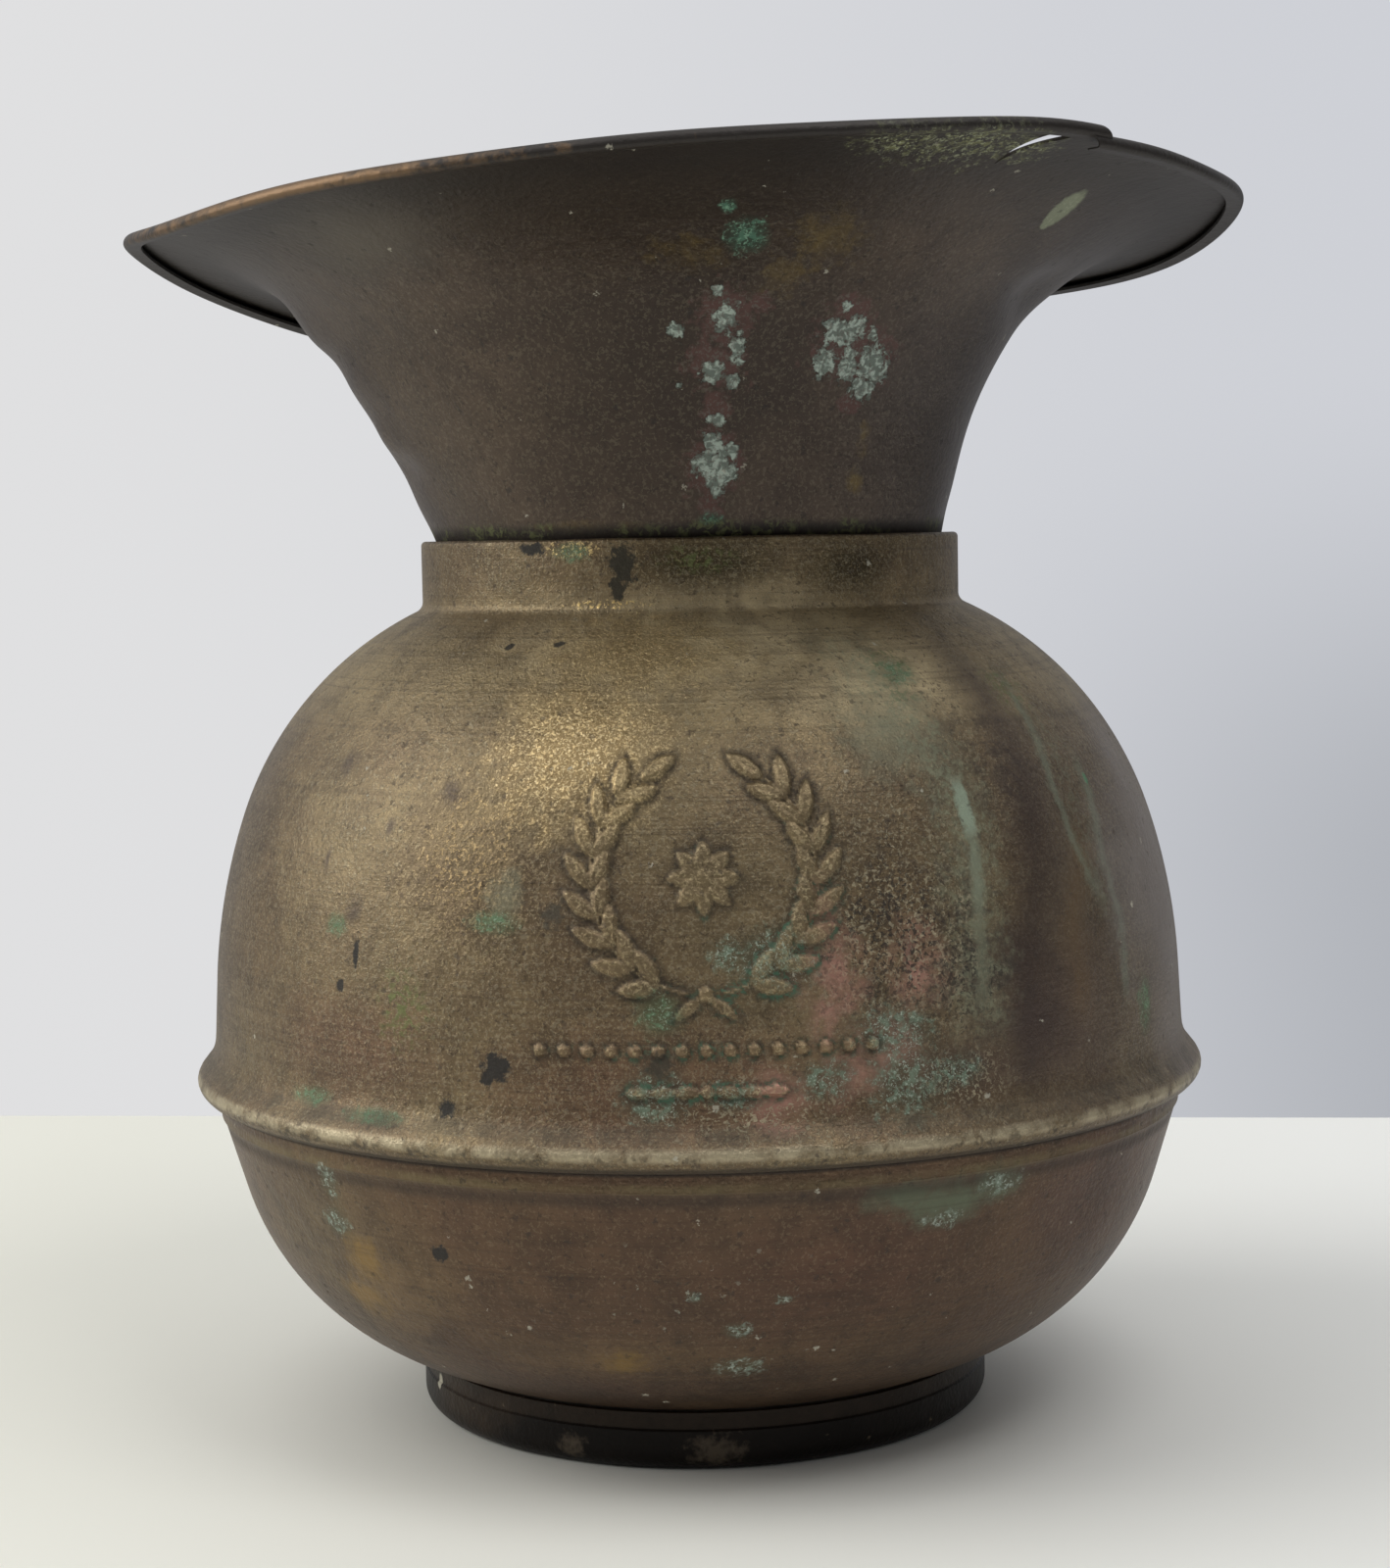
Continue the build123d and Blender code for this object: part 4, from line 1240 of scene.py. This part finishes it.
body.layer([body.run([(122.0, 32.2), (140.0, 32.9)], 2.0, 420, 0.9, 0.8, 5.0), 0.4], thin_streak, 0.7, 0.1)
body.layer([body.run([(136.0, 33.0), (146.2, 32.6)], 2.2, 420, 0.6, 0.5, 1.8), 0.75], pale_streak, 0.7, 0.1)
for places, half_width in (([(100, 55), (114, 55.4), (129, 54.5), (148, 56.4)], 2.3),
                           ([(120, 52), (134, 49), (145, 48.7), (164, 51)], 2.1)):
    body.layer([body.run(places, half_width, 330, 1.0, 0.95, 6), 0.5], side_streak, 0.65, 0.3)
body.layer([body.run([(112, 55), (130, 51.5), (158, 53)], 6, 260, 0.8, 0.9, 6), coarse, 0.4], grey_green)
body.layer([body.spots([(56.4, 143.6, 0.9, 3)], 700, 0.4, 0.4), 0.7], bright_green, 0.65, 0.2)
body.layer([body.soft([(59, 122, 15, 30)], 90, 0.4), 0.42], dust_film, 0.6, 0.4)

# %% Body: crusts
body.crust([(8, 114.5, 9, 6.5), (3.2, 115.5, 4.4, 3.4), (20.5, 99, 9, 6), (22, 89.5, 9, 8),
            (27.5, 90, 7, 3.5), (-4.5, 88.3, 7.5, 5.5), (3.5, 88, 6, 3), (13, 91, 6, 4)],
           coarse, tiny, crust_stain, turquoise, crust_crumb, 0.78)
body.crust([(59.7, 96.4, 3.4, 6.0), (-22, 121.5, 5.5, 2.4), (-43.5, 119, 2.8, 2.2),
            (-4, 104.5, 5, 4.4), (31, 167.5, 5, 3.5), (-46, 84, 6, 2), (-36, 82, 8, 1.6), (-24, 193, 4.4, 2.0)],
           coarse, tiny, green_stain, green_film, green_crumb, 0.75)

# %% Body: dirt, wear, black spots, and painted light and shade on the bead
crevice = body.note("crevice")
body.layer([crevice, 0.5], crevice_dirt, 0.65, 0.4)
body.layer([crevice, coarse, 0.6], crevice_grime, 0.65, 0.4)
body.layer([crevice, body.soft([(10, 112, 24, 22), (0, 92, 26, 10)], 260, 0.9), coarse, 0.8],
           verdigris, 0.75, 0.1, 0.05)
body.layer([body.note("raised"), 0.2], worn_relief, 0.44, 0.7)
body.layer([body.note("raised"), fine, 0.35], worn_crumbs, 0.4, 0.8)
# A painted highlight along the crest of the bead.
body.layer([body.band(76.6, 78.8, 0.7), ramp(body.tree, mottle, 0.0, 0.8), 0.8], bead_highlight, 0.42, 0.6)
body.layer([body.band(74.8, 77.4, 0.7), coarse, ramp(body.tree, mottle, 0.7, 0.3), 0.7], bead_dirt, 0.6, 0.4)
body.layer([body.band(79.6, 83.0, 1.2), mottle, 0.5], bead_shade, 0.65, 0.3)
body.layer([body.band(70.0, 74.9, 0.5), 0.75], dark_dirt, 0.7, 0.2)
smudges = [(-49, 151, 3.4, 4.6), (-37.5, 139, 1.8, 3.4), (-30, 146, 3, 4), (-47, 132, 1.0, 24),
           (-41, 122, 3, 4)]
body.layer([body.soft(smudges, 420, 0.5), 0.7], smudge)
black_spots = [(-21.4, 93.4, 3.4, 2.8), (-22.4, 91.2, 1.6, 1.5), (-26.9, 85.0, 2.1, 2.0),
               (-31, 174, 1.0, 2.2), (-40, 115, 0.9, 4.4), (-42, 107.2, 1.3, 1.3),
               (-22, 174.4, 1.6, 0.8), (-33, 193.6, 3.4, 1.4)]
body.layer([body.spots(black_spots, 620, 0.7, 0.3), 0.92], soot, 0.7, 0.1, -0.04)
body.layer([body.spots([(-13.3, 190.4, 3.7, 4.4), (-14.4, 185.4, 1.9, 3.6)], 700, 0.9, 0.35), 0.9],
           spilled_black, 0.7, 0.2)
body.layer([body.spots([(-15.4, 123.2, 3.0, 3.0), (-4, 94.6, 3.2, 3.4)], 700, 0.8, 0.5), 0.75],
           faded_black, 0.7, 0.2)
body.layer([body.specks(520.0, 0.16, 0.34), 0.5], oxide_dark, 0.7, 0.2, -0.08)
body.layer([body.specks(260.0, 0.09, 0.15), 0.65], lime, 0.8, 0.0, 0.04)
body.relief(tool_lines, 0.08).relief(grain, 0.08).relief(mottle, 0.16).relief(fine, 0.04)
upper.data.materials.append(body.close())

# %% [markdown]
# ## The bowl's finish
# Plainer than the body: warm brown, redder in the middle, olive at the back and along its left edge, where it
# is painted light, paler low on the front as painted light, a dark line under the lip, a painted highlight
# along the lip, a few turquoise crusts and one greenish cloud on the right.

# %% Bowl finish
low = Finish("aged_brass_bowl", on_body, bowl_brown, 0.44, 0.62)
cloud, mottle, grain = low.clouds(0.9)
coarse = low.crumbs(620.0, 0.46, 0.14)
fine = low.crumbs(1250.0, 0.55, 0.08)
low.layer(cloud, bowl_tan)
# Olive: random tone at the back, and painted light along the bowl's lit left edge.
low.layer([low.soft([(-50, 50, 40, 30), (180, 50, 70, 40)], 60), 0.7], bowl_olive)
low.layer([low.soft([(14, 50, 30, 18), (50, 60, 26, 24)], 80), 0.6], bowl_red)
low.layer([low.soft([(8, 50, 54, 22), (50, 56, 26, 20)], 60), 0.5], bowl_dusk)
# Painted light low on the front and left of the bowl, where the table's light falls on it.
low.layer([low.soft([(-12, 32, 42, 8), (-40, 44, 20, 12)], 60), 0.6], bowl_painted_light)
low.layer([low.crumbs(85.0, 0.48, 0.16), 0.36], bowl_dark)
low.layer([mottle, 0.42], bowl_mottle)
low.layer([fine, 0.2], bowl_sand)
low.layer([low.crumbs(900.0, 0.6, 0.06), 0.5], bowl_dark)
low.layer([low.soft([(-43, 50, 7, 7), (-10, 31, 6, 4.5), (-46, 40, 8, 6)], 260, 0.6), 0.7], bowl_ochre)
low.layer([low.soft([(27, 64, 13, 6), (22, 66, 10, 4), (33, 66, 9, 5)], 200, 0.55), 0.8],
          bowl_green, 0.7, 0.2)
# A painted highlight along the step of the lip.
low.layer([low.band(69.0, 71.0, 0.8), mottle, 0.6], lip_highlight, 0.5)
low.layer([low.band(66.2, 68.7, 1.2), 0.5], lip_shade, 0.65, 0.3)
low.layer([low.band(72.7, 74.0, 0.4), 0.8], lip_crevice, 0.7, 0.2)
low.crust([(-45.5, 66, 3, 4.4), (-46, 57, 4.4, 3.4), (4.2, 29.6, 5.6, 3), (4, 39, 3, 2),
           (34, 66, 6, 2.6), (27, 60, 5, 2.2), (9, 46, 2, 1.2), (-1, 47, 1.6, 1.4)],
          coarse, fine, bowl_stain, bowl_film, pale_crust, 0.8)
low.layer([low.spots([(-30.5, 54, 2.3, 2.3)], 620, 0.7, 0.3), 0.92], soot, 0.7, 0.1, -0.04)
low.layer([low.specks(480.0, 0.16, 0.34), 0.5], dark_dirt, 0.7, 0.2, -0.08)
low.layer([low.specks(260.0, 0.14, 0.17), 0.7], lime, 0.8, 0.0, 0.04)
low.layer([low.soft([(-6, 48, 34, 14), (4, 34, 22, 10)], 200, 0.7), low.specks(420.0, 0.3, 0.24), 0.6],
          lime_dust, 0.8, 0.0, 0.04)
tool_lines = low.place(rings_group, "Line", Scale=1.0)
low.layer([ramp(low.tree, tool_lines, 0.5, 0.68), 0.24], bowl_dark)
low.relief(tool_lines, 0.08).relief(grain, 0.08).relief(mottle, 0.15)
bowl.data.materials.append(low.close())

# %% [markdown]
# ## The foot's finish
# The foot is almost black, browner on its left side, with a few pale scuffs.

# %% Foot finish
base = Finish("aged_brass_foot", at_point, foot_black, 0.45, 0.3)
cloud, mottle, grain = base.clouds(1.1)
base.layer(cloud, foot_brown)
base.layer([base.soft([(-54, -36, 8, 20, 10)], 120, 0.6), 0.6], foot_left_brown)
base.layer([base.band(9.2, 14.0, 0.5), 0.5], foot_step_brown)
base.layer([mottle, 0.5], foot_mottle)
base.layer(base.spots([(-59.2, -25.0, 9.4, 1.4, 2.0)], 300, 0.3, 0.3), lime, 0.8, 0.0)
base.layer([base.soft([(2, -64, 4.5, 7, 4), (-28, -57, 4.5, 4, 3)], 500, 0.9), 0.5], foot_scuff, 0.6, 0.2)
base.layer([base.specks(420.0, 0.08, 0.22), 0.6], foot_fleck, 0.7, 0.1)
base.relief(grain, 0.08).relief(mottle, 0.12)
base.shader.inputs["Specular IOR Level"].default_value = 0.2
foot_ring.data.materials.append(base.close())

# %% [markdown]
# ## The funnel's finish
# Dark warm grey-brown, satin, with a line of pale crust where something once ran down its front, a second
# patch to the right of it, and a coppery worn edge along the rim's left.

# %% Funnel: the ground
flare = Finish("aged_brass_funnel", on_funnel, funnel_brown, 0.42, 0.62)
cloud, mottle, grain = flare.clouds(0.8)
coarse = flare.crumbs(620.0, 0.46, 0.14)
fine = flare.crumbs(1250.0, 0.53, 0.08)
flare.layer(cloud, funnel_tan)
# The funnel is lighter on the left as painted light, greyer on the right as a painted reflection, and darker at
# the front as painted shade, where the cone faces down.
flare.layer([flare.soft([(-64, -30, 225, 34, 34), (-44, -60, 215, 22, 20)], 60), 0.5], funnel_lit)
flare.layer([flare.soft([(55, -40, 220, 34, 34), (90, -20, 245, 34, 20)], 60), 0.5], funnel_grey)
flare.layer([flare.soft([(4, -70, 234, 50, 46)], 60), 0.85], funnel_front_shade)
flare.layer([flare.crumbs(70.0, 0.47, 0.16), 0.4], funnel_blotch)
flare.layer([mottle, 0.42], funnel_mottle)
mustard_spots = [(29, -80.5, 254.4, 9, 6), (20.5, -76, 247, 6, 4), (0, -84, 251, 10, 4),
                 (36.7, -50, 215, 1.8, 5), (34.9, -47.6, 207, 2.6, 3), (-22, -55, 198, 12, 1.6)]
flare.layer([flare.soft(mustard_spots, 300, 0.9), mottle, 0.75], mustard)
flare.layer([fine, 0.10], sand)
flare.layer([flare.crumbs(900.0, 0.6, 0.06), 0.5], funnel_pit)
flare.layer([flare.note("brim"), 0.85], brim_dark, 0.55, 0.45)
flare.layer([flare.soft([(-66, -74, 256, 22, 9)], 60), 0.6], brim_lit, 0.5, 0.45)

# %% Funnel: scabs, worn rim, dirt and painted shade at its foot, painted shade inside the roll
flare.held_to = [flare.note("outside")]
front_scabs = [(6.6, -76.6, 244.4, 1.4, 1.4), (8.0, -73.1, 239.2, 2.7, 3.2), (10.3, -69.7, 233.3, 1.6, 3.4),
               (5.5, -68.3, 228.8, 2.7, 2.5), (9.3, -67.0, 226.8, 1.6, 1.5), (-1.8, -72.6, 236.8, 1.7, 1.7),
               (10.9, -68.6, 230.8, 1.2, 1.2), (-1.4, -66.5, 226.4, 0.8, 0.8), (6.0, -64.3, 219.1, 1.9, 1.6),
               (5.2, -62.4, 214.6, 1.8, 3.4), (5.0, -61.2, 210.6, 4.2, 3.4), (7.6, -60.6, 209.0, 3.0, 2.6),
               (5.8, -60.0, 206.4, 2.2, 3.0), (9.0, -61.6, 213.0, 1.4, 1.6), (10.5, -73, 242, 1.1, 1.1)]
front_stain = [(8, -73, 239.5, 6.5, 7.5), (6, -68, 230, 7, 6), (6, -65, 221, 3.4, 5.5),
               (5.2, -61, 210, 6.5, 7.5), (4.8, -58.6, 202, 3.2, 4.6), (15, -73, 242, 3, 2.4)]
side_scabs = [(31.4, -63.5, 236.4, 4.4, 2.8), (35.0, -62.6, 237.4, 2.4, 2.8), (28.2, -62.4, 230.2, 2.6, 3.4),
              (33.4, -59.6, 229.6, 2.6, 4.4), (38.4, -55.9, 230.0, 4.4, 4.4), (36.4, -54.8, 225.6, 3.4, 2.6),
              (37.8, -58, 236.8, 1.6, 2.2), (38.2, -60, 242.4, 1.2, 1.6), (33, -66, 241.6, 1.2, 1.4)]
side_stain = [(33.4, -61.6, 233.6, 9.5, 7.5), (37.6, -57.6, 231.6, 7, 8), (34, -66, 241, 6, 3.4),
              (33.6, -56, 222, 3.4, 2.4)]
for scabs, stains in ((front_scabs, front_stain), (side_scabs, side_stain)):
    flare.scab(scabs, stains, scab_stain, coarse, fine, scab_film, scab_crumb)
flare.crust([(12.2, -84.7, 254.0, 4.4, 3.6), (8.9, -91.2, 259.2, 1.7, 1.5), (4.5, -57.6, 199, 2.6, 1.6)],
            coarse, fine, sea_stain, sea_film, sea_crumb, 1.0)
leaf_patch = []
for step in range(9):
    share = step / 8
    swelling = math.sin(math.pi * share)
    leaf_patch.append((75.0 + 10.1 * share, -51.6 - 9.4 * share, 258.0 + 5.6 * share,
                       1.5 + 2.3 * swelling, 1.4 + 1.7 * swelling))
flare.layer([flare.spots(leaf_patch, 200, 0.1, 0.2), 0.85], leaf_film, 0.7, 0.1)
flare.layer([flare.spots(leaf_patch, 900, 0.9, 0.6), fine, 0.5], leaf_crumb, 0.7, 0.1)
scraped_spots = [(43, -107, 269, 12, 4), (57, -99, 270, 13, 4.5), (50, -102, 268, 10, 4), (66, -92, 269, 9, 3)]
scraped = flare.soft(scraped_spots, 420, 0.95)
flare.layer([scraped, coarse, 0.75], scraped_olive, 0.6, 0.3)
flare.layer([scraped, fine, 0.6], scraped_crumb, 0.7, 0.1)
flare.held_to = []
flare.layer([flare.note("roll_outside"), 0.7], roll_dark, 0.5, 0.4)
flare.layer([flare.note("roll_outside"), flare.soft([(-80, -94, 265, 56, 20)], 260, 0.9), 0.65],
            roll_worn, 0.42, 0.7)
# Dirt and painted shade where the funnel enters the collar.
flare.layer([flare.band(190.0, 198.2, 1.2), 0.75], spigot_dirt_and_shade, 0.65, 0.3)
flare.layer([flare.band(195.6, 198.8, 0.7), coarse, ramp(flare.tree, mottle, 0.35, 0.75), 0.8], spigot_crumb,
            0.7, 0.1)
# Painted shade inside the hollow of the rolled rim.
flare.layer(flare.note("roll_inside"), roll_hollow_shade, 0.8, 0.0)
flare.layer([flare.specks(520.0, 0.12, 0.34), 0.5], funnel_speck, 0.7, 0.2, -0.08)
flare.layer([flare.specks(240.0, 0.09, 0.15), 0.6], lime, 0.8, 0.0, 0.04)
flare.relief(flare.place(rings_group, "Line", Scale=0.8), 0.04).relief(grain, 0.06).relief(mottle, 0.14)
funnel.data.materials.append(flare.close())

# %% [markdown]
# ## The solder
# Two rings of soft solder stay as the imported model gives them. They are hidden but for a thin line, and
# get a dull grey finish with a lumpy skin.

# %% Solder finish
tin = Finish("soft_solder", at_point, solder_grey, 0.55, 0.7)
cloud, mottle, grain = tin.clouds(1.4)
tin.layer(mottle, solder_dull)
tin.relief(mottle, 0.25)
solder = tin.close()
for name in ("seam_solder", "foot_solder"):
    for slot in nodes[name].material_slots:
        slot.material = solder
